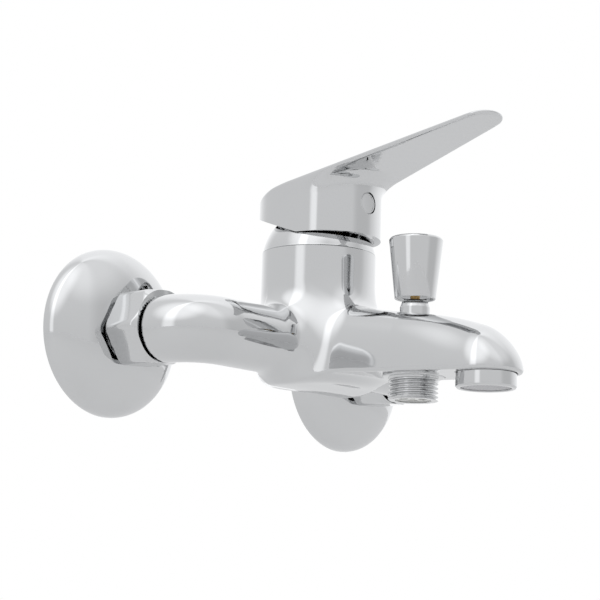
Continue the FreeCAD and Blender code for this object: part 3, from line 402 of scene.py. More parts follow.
def levelSurface(field, low, high, step):
    # one point in each grid cell that the surface crosses, joined across each crossed grid edge,
    # then evened out and settled onto the surface
    axes = [np.arange(a, b + step, step) for a, b in zip(low, high)]
    value = field(np.stack(np.meshgrid(*axes, indexing="ij"), -1))
    inside = value < 0
    shape = [size - 1 for size in inside.shape]
    filled = sum(inside[i:i + shape[0], j:j + shape[1], k:k + shape[2]].astype(np.int8)
                 for i in (0, 1) for j in (0, 1) for k in (0, 1))
    cells = np.argwhere((filled > 0) & (filled < 8))
    number = np.full(shape, -1)
    number[tuple(cells.T)] = np.arange(len(cells))
    points = np.array(low) + (cells + 0.5) * step
    quads = []
    for axis in range(3):
        one, two = [other for other in range(3) if other != axis]
        ahead = np.take(inside, range(1, inside.shape[axis]), axis)
        behind = np.take(inside, range(inside.shape[axis] - 1), axis)
        crossed = np.argwhere(ahead != behind)
        unitOne, unitTwo = np.eye(3, dtype=int)[one], np.eye(3, dtype=int)[two]
        crossed = crossed[(crossed[:, one] > 0) & (crossed[:, two] > 0)]
        ring = [crossed - unitOne - unitTwo, crossed - unitTwo, crossed, crossed - unitOne]
        quad = np.stack([number[tuple(cell.T)] for cell in ring], -1)
        flip = behind[tuple(crossed.T)] ^ (axis == 1)
        quad[~flip] = quad[~flip][:, ::-1]
        quads.append(quad)
    quads = np.concatenate(quads)
    ends = np.concatenate([quads[:, [0, 1]], quads[:, [1, 2]], quads[:, [2, 3]], quads[:, [3, 0]]])
    ends = np.concatenate([ends, ends[:, ::-1]])
    weight = np.bincount(ends[:, 0], minlength=len(points))[:, None]
    points = settle(points, field)
    for _ in range(4):
        pull = np.stack([np.bincount(ends[:, 0], points[ends[:, 1], k], len(points)) for k in range(3)], -1)
        points = settle(points * 0.4 + pull / weight * 0.6, field, 3)
    return points, quads


def cut(piece, cutters):
    # takes closed shapes out of a piece
    for points, faces in cutters:
        tool = makePiece("cutter", points, faces, None, (), "chrome")
        boolean = piece.modifiers.new("cut", "BOOLEAN")
        boolean.operation, boolean.solver, boolean.object = "DIFFERENCE", "EXACT", tool
        applyModifiers(piece)
        mesh = tool.data
        bpy.data.objects.remove(tool)
        bpy.data.meshes.remove(mesh)
    shade(piece.data, creaseAngle)


def bore(radius, low, high, centre, axis="up", segments=96):
    profile = np.array([(0.0, low), (radius, low), (radius, high), (0.0, high)])
    return turned(profile, axis, centre, segments, False)


# body casting
casting = {
    "setback": 52.3, "barrelRadius": 25.0, "barrelTop": 40.3, "barrelFoot": 17.3, "footRound": 6.0,
    "armStart": 36.1, "armRadius": 14.2, "armDrop": 1.2, "halfPitch": 75.0, "armBlend": 11.0,
    "noseReach": 144.4, "noseRadius": 16.0, "spoutBlend": 9.0, "footEdge": 1.6,
    "rootTop": 19.0, "topSlope": 0.166, "fallStart": 120.0, "fall": 0.0037,
    "rootFoot": 14.0, "footSlope": 0.05, "rootHalf": 20.0, "midHalf": 17.0, "midReach": 107.5,
    "step": 1.0, "margin": 3.3, "lowest": -22.3, "behind": -24.3, "spare": 2.0, "armEdge": 0.8,
    "squareness": (3.3, 0.3, 0.95),  # superellipse power at the root and its two falls
    "bulge": 0.95,  # keeps the field close to a true distance
    "trim": 9.0, "chamberRadius": 17.6, "chamberFloor": 9.0, "wellRadius": 9.05, "wellFoot": -22.0,
    "wellTop": 1.6, "glandRadius": 5.05, "glandFoot": 0.8, "glandTop": 8.5, "bonnetFoot": 7.8,
    "bonnetTop": 16.0, "faceFoot": -23.0, "outletFace": -16.25, "nozzleFace": -17.7,
    "nozzleRadius": 11.45, "nozzleFoot": -18.2, "nozzleTop": -9.5, "inletRadius": 9.55,
    "inletStart": 30.0, "inletDepth": 8.5,
}


def spoutField(x, y, z):
    # every cross-section is half a superellipse on a flat foot; past the nose centre it is swept round it
    c = casting
    reach = -y
    past = np.maximum(reach - c["noseReach"], 0)
    across = np.hypot(x, past)
    held = np.clip(reach, c["setback"], c["noseReach"])
    first = np.clip((held - c["setback"]) / (c["midReach"] - c["setback"]), 0, 1)
    second = np.clip((held - c["midReach"]) / (c["noseReach"] - c["midReach"]), 0, 1)
    half = c["rootHalf"] + (c["midHalf"] - c["rootHalf"]) * first + (c["noseRadius"] - c["midHalf"]) * second
    top = c["rootTop"] - c["topSlope"] * (reach - c["setback"]) \
        - c["fall"] * np.maximum(reach - c["fallStart"], 0) ** 2
    foot = c["rootFoot"] + c["footSlope"] * (held - c["setback"])
    power, firstFall, secondFall = c["squareness"]
    power = power - firstFall * first - secondFall * second * second * (3 - 2 * second)
    rise = np.maximum(z + foot, 0) / np.maximum(top + foot, 1)
    bulge = ((across / half) ** power + rise ** power) ** (1 / power) - 1
    return roundMax(bulge * half * c["bulge"], -(z + foot), c["footEdge"])


def castingField(points):
    c = casting
    x, y, z = np.abs(points[..., 0]), points[..., 1], points[..., 2]
    barrel = np.hypot(x, y + c["setback"]) - c["barrelRadius"]
    barrel = roundMax(barrel, -(z + c["barrelFoot"]), c["footRound"])
    bend = c["setback"] - c["armStart"]
    elbow = np.abs(np.hypot(x - c["halfPitch"] + bend, y + c["armStart"]) - bend)
    straight = np.where(y < -c["armStart"], elbow, np.abs(x - c["halfPitch"]))
    inPlan = np.where(x < c["halfPitch"] - bend, np.abs(y + c["setback"]), straight)
    arm = roundMax(np.hypot(inPlan, z + c["armDrop"]) - c["armRadius"], y + c["armStart"], c["armEdge"])
    spout = np.maximum(spoutField(x, y, z), y + c["setback"])
    whole = roundMin(roundMin(barrel, arm, c["armBlend"]), spout, c["spoutBlend"])
    return np.maximum(whole, z - c["barrelTop"] - c["spare"])


def makeCasting():
    c = casting
    margin = c["margin"]
    low = (-c["halfPitch"] - c["armRadius"] - margin, -c["noseReach"] - c["noseRadius"] - margin,
           c["lowest"])
    high = (-low[0], c["behind"], c["barrelTop"] + margin)
    points, faces = levelSurface(castingField, low, high, c["step"])
    piece = makePiece("bodyCasting", points, faces, "body", ["mixer_body"], "chrome")
    barrel, diverter = (0, -c["setback"], 0), (0, -c["midReach"], 0)
    nozzle = boxOf("aerator_ring")
    bonnet, ring = boxOf("diverter_bonnet"), boxOf("shower_outlet")
    spray = (0, (nozzle[0][1] + nozzle[1][1]) / 2, 0)
    cut(piece, [
        bore(c["barrelRadius"] * 1.3, c["barrelTop"], c["barrelTop"] + c["trim"], barrel),
        bore(c["chamberRadius"], c["chamberFloor"], c["barrelTop"] + 1, barrel),
        bore(c["wellRadius"], c["wellFoot"], c["wellTop"], diverter),
        bore((bonnet[1][0] - bonnet[0][0]) / 2 + 0.05, c["bonnetFoot"], c["bonnetTop"], diverter),
        bore(c["glandRadius"], c["glandFoot"], c["glandTop"], diverter),
        bore((ring[1][0] - ring[0][0]) / 2 + 0.3, c["faceFoot"], c["outletFace"], diverter),
        bore((nozzle[1][0] - nozzle[0][0]) / 2 + 0.5, c["faceFoot"], c["nozzleFace"], spray),
        bore(c["nozzleRadius"], c["nozzleFoot"], c["nozzleTop"], spray),
        *[bore(c["inletRadius"], c["inletStart"], c["armStart"] + c["inletDepth"],
               (side * c["halfPitch"], 0, 0), "out") for side in (-1, 1)],
    ])
    shadeFrom(piece, castingField)
    print("casting", len(piece.data.polygons), "faces")


makeCasting()


# wall connection, both sides
plate = {"rim": 1.0, "wall": 1.0, "hole": 13.7, "edge": 0.3, "steps": 72, "around": 224}
nut = {"across": 30.5, "turn": 4.0, "face": 30.8, "chamfer": 3.4, "corner": 0.5, "bore": 12.5, "tail": 9.75,
       "lip": 4.5, "softCorner": 0.5, "softFace": 0.35, "softBack": 0.4, "backCut": 0.9, "backSlope": 1.6,
       "around": 360}
union = {"offset": 6.0, "shoulder": 3.0, "neck": 11.0, "bore": 7.5, "rows": (190, 16, 120), "around": 96}


def makePlate(side):
    # half an ellipse turned about the inlet axis, with a second one inside it
    low, high = boxOf(side + "_escutcheon")
    centre = ((low[0] + high[0]) / 2, 0, (low[2] + high[2]) / 2)
    radius, height = (high[0] - low[0]) / 2, -low[1]
    edge = plate["edge"]
    profile = [(radius - edge, 0.0), (radius, edge), (radius, plate["rim"])]
    for outer, shift, order in ((radius, 0, 1), (radius - plate["wall"], plate["wall"], -1)):
        last = math.acos(plate["hole"] / outer)
        angles = np.linspace(0.0, last, plate["steps"])[1:][::order]
        dome = height - plate["rim"] - shift
        crown = 1 / math.sin(last)
        profile += [(outer * math.cos(angle), plate["rim"] + dome * math.sin(angle) * crown)
                    for angle in angles]
    profile += [(radius - plate["wall"], plate["rim"]), (radius - plate["wall"], 0.0)]
    points, faces = turned(np.array(profile), "out", centre, plate["around"])
    return makePiece(side + "CoverPlate", points, faces, "body", [side + "_escutcheon"], "chrome", 50)


def makeNut(side):
    # the radius is the smaller of the hexagon, a corner circle and the chamfer cone, softly joined
    low, high = boxOf(side + "_union_nut")
    centre = ((low[0] + high[0]) / 2, 0, (low[2] + high[2]) / 2)
    back, front = -high[1], -low[1]
    apothem, corner = nut["across"] / 2, nut["across"] / math.sqrt(3)
    angle = np.linspace(0, 2 * math.pi, nut["around"], endpoint=False)[None, :]
    sixth = math.pi / 3
    fromFlat = (angle - math.radians(nut["turn"])) % sixth - sixth / 2
    hexagon = roundMin(apothem / np.cos(fromFlat), corner - nut["corner"], nut["softCorner"])
    along = np.concatenate([np.linspace(back, back + 1.2, 7), np.linspace(back + 2, front - 6, 8),
                            np.linspace(front - 5, front, 30)])[:, None]
    slope = (corner - nut["face"] / 2) / nut["chamfer"]
    radius = roundMin(hexagon + 0 * along, nut["face"] / 2 + (front - along) * slope, nut["softFace"])
    backCone = corner - nut["backCut"] + (along - back) * nut["backSlope"]
    radius = roundMin(radius, backCone + 0 * angle, nut["softBack"])
    inner = np.array([(nut["face"] / 2 - nut["corner"], front), (nut["tail"], front),
                      (nut["tail"], front - nut["lip"]), (nut["bore"], front - nut["lip"]),
                      (nut["bore"], back)])
    radius = np.concatenate([radius, inner[:, :1] + 0 * angle])
    along = np.concatenate([along, inner[:, 1:]])
    points = place(radius * np.cos(angle), radius * np.sin(angle), along + 0 * angle, "out", centre)
    return makePiece(side + "UnionNut", points, gridFaces(len(radius), nut["around"], True), "body",
                     [side + "_union_nut"], "chrome", 32)


def makeUnion(side):
    # rings along the wall axis whose centre drops by the offset between the wall thread and the nut thread
    low, high = boxOf(side + "_s_union")
    middle = (low[0] + high[0]) / 2
    back, front = -high[1], -low[1]
    wallRadius, lead = thread["radius"], thread["lead"]
    wallRows, neckCount, frontCount = union["rows"]
    nutRadius = (high[0] - low[0]) / 2
    threadRows = np.linspace(back, union["shoulder"] - 2, wallRows)
    neckRows = np.linspace(union["shoulder"], union["neck"], neckCount)
    frontRows = np.linspace(union["neck"] + 1, front, frontCount)
    profile = np.concatenate([
        [(union["bore"], back, 0), (wallRadius - lead, back, 0)],
        np.stack([0 * threadRows + wallRadius, threadRows, 0 * threadRows + 1], -1),
        np.stack([np.linspace(wallRadius + 1, nutRadius, neckCount), neckRows, 0 * neckRows], -1),
        np.stack([0 * frontRows + nutRadius, frontRows, 0 * frontRows + 1], -1),
        [(nutRadius - lead, front, 0), (union["bore"], front, 0), (union["bore"], union["neck"], 0),
         (union["bore"], union["shoulder"], 0)],
    ])
    points, faces = threaded(profile, thread["pitch"], thread["depth"], back, front, "out",
                             (middle, 0, 0), union["around"])
    share = np.clip((union["neck"] + points[:, 1]) / (union["neck"] - union["shoulder"]), 0, 1)
    points[:, 2] += union["offset"] * share * share * (3 - 2 * share)
    return makePiece(side + "WallUnion", points, faces, "body", [side + "_s_union"], "chrome", 30)


for side in ("left", "right"):
    makePlate(side)
    makeNut(side)
    makeUnion(side)
print("wall connection made")


# dome sleeve
sleeve = {"wall": 1.6, "mouth": 17.5, "edge": 0.25, "shoulder": (3.2, 2.4), "lip": (1.8, 1.1),
          "waist": 1.9, "inside": 2.4, "seat": (3.0, 2.0), "around": 200}


def makeSleeve():
    low, high = boxOf("dome_sleeve")
    foot, bottom, top = (high[0] - low[0]) / 2, low[2], high[2]
    middle = (bottom + top) / 2
    mouth = sleeve["mouth"]
    start, shoulder = (foot, bottom), (mouth + sleeve["shoulder"][0], top - sleeve["shoulder"][1])
    lip = (mouth + sleeve["lip"][0], top - sleeve["lip"][1])
    outer = [(foot - sleeve["edge"], bottom), (foot, bottom + sleeve["edge"])]
    outer += curve(start, (foot - sleeve["waist"], middle), shoulder, 22)
    outer += curve(shoulder, lip, (mouth, top), 8)
    deep, seat = foot - sleeve["inside"] - sleeve["wall"], sleeve["seat"]
    inner = [(mouth, top), (mouth, top - sleeve["wall"]), (deep, middle), (deep, bottom + seat[1]),
             (foot - seat[0], bottom)]
    centre = (0, (low[1] + high[1]) / 2, 0)
    points, faces = turned(np.array(outer + inner), "up", centre, sleeve["around"])
    return makePiece("domeSleeve", points, faces, "body", ["dome_sleeve"], "chrome", 40)


makeSleeve()


# lever
lever = {
    "halfWidth": 24.8, "halfLength": 28.4, "bottom": 46.6, "crown": 69.4, "rise": 12.35, "under": 2.9,
    "taper": 0.5, "sideHalf": 24.1, "flankEdge": 2.0, "sideSlope": 0.1535, "tipStart": 89.0, "tip": 97.3,
    "cut": 19.6, "cutStart": 6.8, "cutRound": 4.0, "throat": 7.0, "rootRound": 1.0, "rootOverlap": 2.0,
    "topEdge": 1.7, "spare": 4.0, "step": 0.5, "margin": 2.3, "climb": 0.22,
    "hollowWidth": 23.3, "hollowLength": 24.7, "hollowTaper": 0.85, "hollowFoot": 3.0, "roof": 60.5,
    "hub": 8.5, "hubFoot": 48.0, "below": 40.0, "around": 120, "plugHeight": 60.5, "plugGap": 0.15,
    "plugBack": 0.1, "plugAhead": 6.0,
}


def leverField(points):
    # an oval base and an inclined thin blade, softly joined, then cut by the sides and the top plane
    v = lever
    x, y, z = np.abs(points[..., 0]), points[..., 1] + casting["setback"], points[..., 2]
    scaled = np.hypot(x / v["halfWidth"], y / v["halfLength"])
    steep = np.hypot(x / v["halfWidth"] ** 2, y / v["halfLength"] ** 2)
    base = scaled * (scaled - 1) / np.maximum(steep, 1e-6)
    half = v["sideHalf"] + v["sideSlope"] * np.maximum(y, -v["tipStart"])
    flank = (x - half) / math.hypot(1, v["sideSlope"])
    overrun = np.maximum(-y - v["tipStart"], 0)
    tipLength = v["tip"] - v["tipStart"]
    rounded = (np.hypot(x / half, overrun / tipLength) - 1) * tipLength
    flank = np.where(overrun > 0, rounded, flank)
    rise, under = (math.tan(math.radians(angle)) for angle in (v["rise"], v["rise"] + v["taper"]))
    below = (v["crown"] - v["under"] - y * under - z) * math.cos(math.radians(v["rise"]))
    above = (z - v["crown"] + y * rise) * math.cos(math.radians(v["rise"]))
    blade = roundMax(below, y + v["rootOverlap"], v["rootRound"])
    whole = roundMax(roundMin(base, blade, v["throat"]), flank, v["flankEdge"])
    return np.maximum(roundMax(whole, above, v["topEdge"]), v["bottom"] - v["spare"] - z)


def makeLever():
    v = lever
    axis = -casting["setback"]
    margin = v["margin"]
    low = (-v["halfWidth"] - margin, axis - v["tip"] - margin, v["bottom"] - v["spare"] - margin)
    high = (-low[0], axis + v["halfLength"] + margin, v["crown"] + v["tip"] * v["climb"] + v["spare"])
    points, faces = levelSurface(leverField, low, high, v["step"])
    piece = makePiece("leverHandle", points, faces, "lever", ["lever_handle"], "chrome")
    # the hollow leaves a hub in the middle and narrows towards its roof
    rows = np.array([(0, v["below"], 0), (0, v["hubFoot"], 0), (1, v["hubFoot"], 0), (1, v["roof"], 0),
                     (v["hollowTaper"], v["roof"], 1), (1, v["bottom"] + v["hollowFoot"], 1),
                     (1, v["below"], 1)])
    angle = np.linspace(0, 2 * math.pi, v["around"], endpoint=False)[None, :]
    wide = np.where(rows[:, 2] > 0, v["hollowWidth"], v["hub"]) * rows[:, 0]
    long = np.where(rows[:, 2] > 0, v["hollowLength"], v["hub"]) * rows[:, 0]
    hollow = place(wide[:, None] * np.cos(angle), long[:, None] * np.sin(angle), rows[:, 1:2] + 0 * angle,
                   "up", (0, axis, 0))
    # the underside is flat in front and rises towards the back
    far = v["tip"] + v["spare"]
    climb = math.tan(math.radians(v["cut"]))
    line = outline((-far, v["bottom"] - 2 * v["spare"]), (-far, v["bottom"]),
                   (-v["cutStart"], v["bottom"], v["cutRound"]),
                   (far, v["bottom"] + (far + v["cutStart"]) * climb), (far, v["bottom"] - 2 * v["spare"]))
    heart = np.array([-v["cutStart"], v["bottom"] - v["spare"]])
    slices = heart + (line - heart) * np.array([0, 1, 1, 0])[:, None, None] + (axis, 0)
    sides = np.array([-1, -1, 1, 1])[:, None, None] * v["tip"]
    wedge = np.concatenate([sides + 0 * slices[..., :1], slices], -1).reshape(-1, 3)
    low, high = boxOf("index_plug")
    radius = (high[0] - low[0]) / 2
    cut(piece, [(wedge, gridFaces(4, len(line), False)), (hollow, gridFaces(len(rows), v["around"], True)),
                bore(radius + v["plugGap"], -high[1] - v["plugBack"], -low[1] + v["plugAhead"],
                     (0, 0, v["plugHeight"]), "out", 72)])
    shadeFrom(piece, leverField)
    print("lever", len(piece.data.polygons), "faces")


plug = {"gap": 0.1, "setBack": 0.55, "dish": 0.12, "dishRim": 0.82, "edge": 0.45, "edgeInner": 0.1,
        "step": 0.1, "around": 96}


def makePlug():
    # a disc with a rounded rim, set back in its hole and slightly hollow in front
    low, high = boxOf("index_plug")
    radius, back = (high[0] - low[0]) / 2 - plug["gap"], -high[1]
    front, rimShare = -low[1] - plug["setBack"], plug["dishRim"]
    face = [(radius * share, front - plug["dish"] * (1 - share ** 2) - plug["step"])
            for share in np.linspace(0, rimShare, 9)]
    rim = outline((0, back), (radius, back), (radius, front, plug["edge"]),
                  (radius * rimShare, front, plug["edgeInner"]))
    profile = np.concatenate([rim, np.array(face[::-1])])
    centre = ((low[0] + high[0]) / 2, 0, (low[2] + high[2]) / 2)
    points, faces = turned(profile, "out", centre, plug["around"], False)
    return makePiece("indexPlug", points, faces, "lever", ["index_plug"], "chrome_plastic", 40)


makeLever()
makePlug()


# diverter
diverter = {
    "knobWall": 1.0, "recess": 0.8, "stem": 2.05, "socket": 9.9, "knobFoot": 8.65, "rim": (0.6, 1.0),
    "gland": 5.0, "bonnetSeat": 7.85, "bonnetWaist": 11.9, "bonnetCone": (0.75, 14.2), "bonnetTop": 1.6,
    "bonnetSoft": 0.8,
}


def makeKnob():
    low, high = boxOf("diverter_knob")
    top, bottom, head = high[2], low[2], (high[0] - low[0]) / 2
    foot, (inward, down) = diverter["knobFoot"], diverter["rim"]
    inside, roof = foot - diverter["knobWall"], bottom + diverter["recess"]
    profile = outline(
        (0, top), (head - inward, top, 0.8), (head, top - down, 0.7), (foot, bottom, 0.35),
        (inside, bottom, 0.3), (inside, roof), (diverter["stem"], roof),
        (diverter["stem"], top - diverter["socket"]),
        (0, top - diverter["socket"]))
    points, faces = turned(profile, "up", (0, (low[1] + high[1]) / 2, 0), 160, False)
    return makePiece("pullKnob", points, faces, "diverter_spool", ["diverter_knob"], "chrome", 32)


def makeBonnet():
    low, high = boxOf("diverter_bonnet")
    radius, top, bottom = (high[0] - low[0]) / 2, high[2], low[2]
    seat, gland, soft = diverter["bonnetSeat"], diverter["gland"], diverter["bonnetSoft"]
    inward, height = diverter["bonnetCone"]
    profile = outline(
        (diverter["stem"], bottom), (gland, bottom), (gland, seat), (radius, seat),
        (radius, diverter["bonnetWaist"], soft), (radius - inward, height, soft),
        (radius - diverter["bonnetTop"], top, soft / 2), (diverter["stem"], top))
    points, faces = turned(profile, "up", (0, (low[1] + high[1]) / 2, 0), 120)
    return makePiece("stemBonnet", points, faces, "body", ["diverter_bonnet"], "chrome", 34)


makeKnob()
makeBonnet()


# outlets
outlet = {
    "bore": 7.6, "flange": 1.4, "face": -16.3, "hole": 5.2, "shank": 9.0, "end": 1.5, "edge": (0.25, 0.5),
    "tip": 1.1, "gap": 0.4, "fade": (0.9, 0.2), "rows": 150, "around": 128,
}


def makeShowerOutlet():
    low, high = boxOf("shower_outlet")
    flangeRadius, top, bottom = (high[0] - low[0]) / 2, high[2], low[2]
    radius, face, end = thread["radius"], outlet["face"], top - outlet["end"]
    under = face - outlet["flange"]
    rows = np.linspace(under - outlet["gap"], bottom, outlet["rows"])
    plain = outline((outlet["hole"], end), (outlet["hole"], top), (outlet["shank"], top),
                    (outlet["shank"], face), (flangeRadius, face, outlet["edge"][0]),
                    (flangeRadius, under, outlet["edge"][1]), (radius, under))
    inner = np.array([(radius - outlet["tip"], bottom), (outlet["bore"], bottom), (outlet["bore"], end)])
    profile = np.concatenate([np.c_[plain, np.zeros(len(plain))],
                              np.stack([0 * rows + radius, rows, 0 * rows + 1], -1),
                              np.c_[inner, np.zeros(3)]])
    points, faces = threaded(profile, thread["pitch"], thread["depth"], bottom - outlet["fade"][0],
                             under - outlet["fade"][1], "up", (0, (low[1] + high[1]) / 2, 0),
                             outlet["around"])
    return makePiece("showerOutlet", points, faces, "body", ["shower_outlet"], "chrome", 32)


nozzle = {
    "lip": 10.4, "lipThick": 0.6, "inner": 10.9, "outer": 11.4, "seat": -17.8, "shoulder": (0.5, 0.45),
    "foot": (0.55, 0.6), "around": 200, "wire": 0.17, "spacing": 0.86, "sway": 0.95, "meshGap": 0.2,
    "sides": 6, "perWire": 8,
}


def makeNozzle():
    low, high = boxOf("aerator_ring")
    radius, top, bottom = (high[0] - low[0]) / 2, high[2], low[2]
    outer, seat, shoulder, foot = (nozzle[key] for key in ("outer", "seat", "shoulder", "foot"))
    profile = outline(
        (nozzle["inner"], top), (outer, top), (outer, seat), (radius - shoulder[0], seat),
        (radius, seat - shoulder[1], 0.4), (radius, bottom + foot[1], 0.5),
        (radius - foot[0], bottom, 0.3), (nozzle["lip"], bottom, 0.25),
        (nozzle["lip"], bottom + nozzle["lipThick"]), (nozzle["inner"], bottom + nozzle["lipThick"]))
    points, faces = turned(profile, "up", (0, (low[1] + high[1]) / 2, 0), nozzle["around"])
    return makePiece("aeratorRing", points, faces, "body", ["aerator_ring"], "chrome", 32)


def makeMesh():
    # woven wires: each runs straight across the disc and goes over and under the ones it meets
    low, high = boxOf("aerator_mesh")
    radius, level = (high[0] - low[0]) / 2 - nozzle["meshGap"], (low[2] + high[2]) / 2
    centre = np.array([0, (low[1] + high[1]) / 2, level])
    spacing, wire, sides = nozzle["spacing"], nozzle["wire"], nozzle["sides"]
    count = int(radius / spacing)
    around = np.linspace(0, 2 * math.pi, sides, endpoint=False)[None, :]
    points, faces, total = [], [], 0
    for turnedWay in (0, 1):
        for line in range(-count, count + 1):
            half = math.sqrt(radius ** 2 - (line * spacing) ** 2)
            steps = max(nozzle["perWire"], int(half / spacing * nozzle["perWire"]))
            along = np.linspace(-half, half, steps)[:, None]
            side = 1 if (line + turnedWay) % 2 else -1
            sway = wire * nozzle["sway"] * np.cos(math.pi * along / spacing) * side
            across = line * spacing + wire * np.cos(around) + 0 * along
            height = sway + wire * np.sin(around)
            run = along + 0 * around
            wireSkin = np.stack((run, across, height) if turnedWay else (across, run, height), -1)
            rows = len(along)
            skin = gridFaces(rows, sides, False) + total
            points.append(wireSkin.reshape(-1, 3))
            faces += (skin if turnedWay else skin[:, ::-1]).tolist()
            end = total + rows * sides
            caps = [list(range(total, total + sides)), list(range(end - sides, end))]
            faces += [caps[0][::-1], caps[1]] if turnedWay else [caps[0], caps[1][::-1]]
            total = end
    piece = bpy.data.objects.new("aeratorMesh", bpy.data.meshes.new("aeratorMesh"))
    piece.data.from_pydata(((np.concatenate(points) + centre) * mm).tolist(), [], faces)
    bpy.context.scene.collection.objects.link(piece)
    turnOutwards(piece.data)
    shade(piece.data, 50)
    piece.data.materials.append(finishes["steel"])
    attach(piece, "body")
    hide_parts("aerator_mesh")
    return piece


makeShowerOutlet()
makeNozzle()
makeMesh()
print("outlets made")


# springs: a coiled steel wire in each spring's box, left unattached
spring = {"around": 10, "perTurn": 40}


def makeSpring(name, node, turns, wire):
    # the wire's centre line climbs evenly at a fixed distance from the axis
    low, high = boxOf(node)
    count = turns * spring["perTurn"] + 1
    share, radius = np.linspace(0, 1, count), (high[0] - low[0] - wire) / 2
    turn = share * turns * 2 * math.pi
    climb = (high[2] - low[2] - wire) * share + low[2] + wire / 2
    outward = np.stack([np.cos(turn), np.sin(turn), 0 * turn], -1)
    centres = outward * radius + np.stack([0 * turn, 0 * turn + (low[1] + high[1]) / 2, climb], -1)
    order = np.concatenate([[0], np.arange(count), [count - 1]])
    thick = np.full(count + 2, wire / 2)
    thick[[0, -1]] = 0
    around = np.linspace(0, 2 * math.pi, spring["around"], endpoint=False)
    ring = outward[order][:, None] * np.cos(around)[:, None] + np.array([0, 0, 1]) * np.sin(around)[:, None]
    points = centres[order][:, None] + ring * thick[:, None, None]
    faces = gridFaces(len(order), spring["around"], False)
    piece = makePiece(name, points.reshape(-1, 3), faces, None, (), "steel", 60)
    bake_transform(piece)
    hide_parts(node)


makeSpring("diverterSpring", "diverter_spring", 5, 0.8)
makeSpring("checkSpring", "check_valve_spring", 4, 0.5)


# nodes that keep their own shape
keptFinish = {
    "chrome": ["left_tail_bush", "right_tail_bush"],
    "raw_brass": ["cartridge_nut", "diverter_stem", "diverter_plunger", "diverter_seat"],
    "black_rubber": ["left_inlet_washer", "right_inlet_washer", "port_seals", "stem_o_ring",
                     "lower_plunger_washer", "upper_plunger_washer", "aerator_gasket"],
    "ceramic": ["fixed_ceramic_disc", "moving_ceramic_disc"],
    "white_plastic": ["cartridge_base", "cartridge_housing", "check_valve_body", "check_valve_poppet",
                      "aerator_insert"],
    "grey_plastic": ["cartridge_rotor", "disc_carrier"],
    "steel": ["pivot_pin", "lever_spindle", "grub_screw"],
}
for slotName, nodeNames in keptFinish.items():
    for nodeName in nodeNames:
        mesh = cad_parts[nodeName].data
        mesh.materials.clear()
        mesh.materials.append(finishes[slotName])


# studio: floor, surroundings and lights
studio = {
    "floorDrop": 260.0, "floorSize": 6000.0, "centre": (0, -0.05, 0.02),
    "levels": ((0.0, 0.80), (0.50, 0.80), (0.62, 0.82), (0.78, 0.86), (1.0, 0.92)),  # from below to overhead
    # soft patches of light or shade: heading, elevation (None for a tall strip), inner and outer angle, gain
    "patches": ((-86, None, 2, 13, 0.40), (-80, 50, 10, 40, 0.46), (120, None, 20, 70, 0.30),
                (10, 60, 10, 40, 0.25), (30, None, 10, 30, -0.14)),
    # name, heading, elevation, distance, width, height in metres, power
    "lights": (("keySoft", -60, 50, 1.7, 1.2, 0.9, 1.6), ("fillSoft", 60, 25, 1.8, 1.0, 1.4, 0.8),
               ("backSoft", 160, 40, 1.8, 1.2, 0.8, 0.8)),
}


def makeFloor():
    size, level = studio["floorSize"], boxOf("mixer_body")[0][2] - studio["floorDrop"]
    mesh = bpy.data.meshes.new("floor")
    corners = [(-size, -size, level), (size, -size, level), (size, size, level), (-size, size, level)]
    mesh.from_pydata((np.array(corners) * mm).tolist(), [], [(0, 1, 2, 3)])
    floor = bpy.data.objects.new("floor", mesh)
    bpy.context.scene.collection.objects.link(floor)
    mesh.materials.append(makePlain("paleFloor", (0.71, 0.71, 0.71), (0.69, 0.69, 0.69), 0.6, 40, 0.02))


def aim(heading, elevation):
    # a unit direction: heading 0 is out from the wall, 90 towards the right
    turn, lift = math.radians(heading), math.radians(elevation)
    return (math.sin(turn) * math.cos(lift), -math.cos(turn) * math.cos(lift), math.sin(lift))


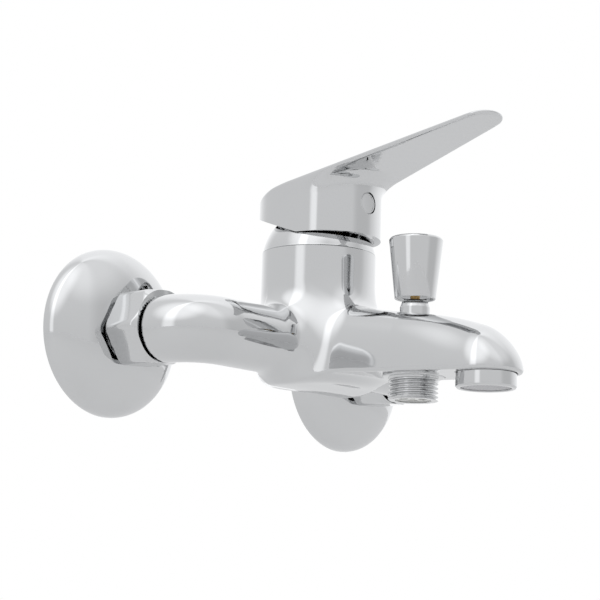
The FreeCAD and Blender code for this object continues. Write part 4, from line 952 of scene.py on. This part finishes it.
def makeSky():
    # what the mirrors see: soft grey with broad light patches; plain white straight to the camera
    world = bpy.data.worlds.new("sky")
    bpy.context.scene.world = world
    world.use_nodes = True
    world.node_tree.nodes.clear()
    sky = Wiring(world.node_tree)
    direction = sky.add("ShaderNodeTexCoord", out="Generated")
    height = sky.add("ShaderNodeSeparateXYZ", None, {0: direction}, "Z")
    light = sky.add("ShaderNodeValToRGB", {"stops": studio["levels"]}, {0: height * 0.5 + 0.5}, "Color")
    level = sky.add("ShaderNodeVectorMath", {"operation": "MULTIPLY"}, {0: direction, 1: (1, 1, 0)})
    level = sky.add("ShaderNodeVectorMath", {"operation": "NORMALIZE"}, {0: level})
    for heading, elevation, inner, outer, gain in studio["patches"]:
        source = level if elevation is None else direction
        near = sky.add("ShaderNodeVectorMath", {"operation": "DOT_PRODUCT"},
                       {0: source, 1: aim(heading, elevation or 0)}, "Value")
        start, full = (math.cos(math.radians(angle)) for angle in (outer, inner))
        light = light + sky.add("ShaderNodeMapRange", {"interpolation_type": "SMOOTHSTEP"}, {
            "Value": near, "From Min": start, "From Max": full, "To Min": 0.0, "To Max": gain})
    mirrored = sky.add("ShaderNodeBackground", None, {"Color": (0.985, 0.99, 1, 1), "Strength": light})
    shown = sky.add("ShaderNodeBackground", None, {"Color": (1, 1, 1, 1), "Strength": 1.0})
    straight = sky.add("ShaderNodeLightPath", out="Is Camera Ray")
    both = sky.add("ShaderNodeMixShader", None, {0: straight, 1: mirrored, 2: shown})
    output = sky.tree.nodes.new("ShaderNodeOutputWorld")
    sky.tree.links.new(both.socket, output.inputs[0])


def makeLight(name, spot, target, width, height, power):
    data = bpy.data.lights.new(name, "AREA")
    data.shape, data.size, data.size_y, data.energy = "RECTANGLE", width, height, power
    light = bpy.data.objects.new(name, data)
    light.visible_camera = light.visible_glossy = False
    spot, target = np.array(spot, float), np.array(target, float)
    away = (spot - target) / np.linalg.norm(spot - target)
    side = np.cross((0, 0, 1.0), away)
    side /= np.linalg.norm(side)
    pose = np.eye(4)
    pose[:3, 0], pose[:3, 1], pose[:3, 2], pose[:3, 3] = side, np.cross(away, side), away, spot
    light.matrix_world = Matrix(pose.tolist())
    bpy.context.scene.collection.objects.link(light)


makeFloor()
makeSky()
for name, heading, elevation, distance, width, height, power in studio["lights"]:
    makeLight(name, np.array(aim(heading, elevation)) * distance + studio["centre"], studio["centre"],
              width, height, power)
bpy.context.scene.view_settings.view_transform = "Standard"
bpy.context.scene.view_settings.look = "None"
print("studio ready")
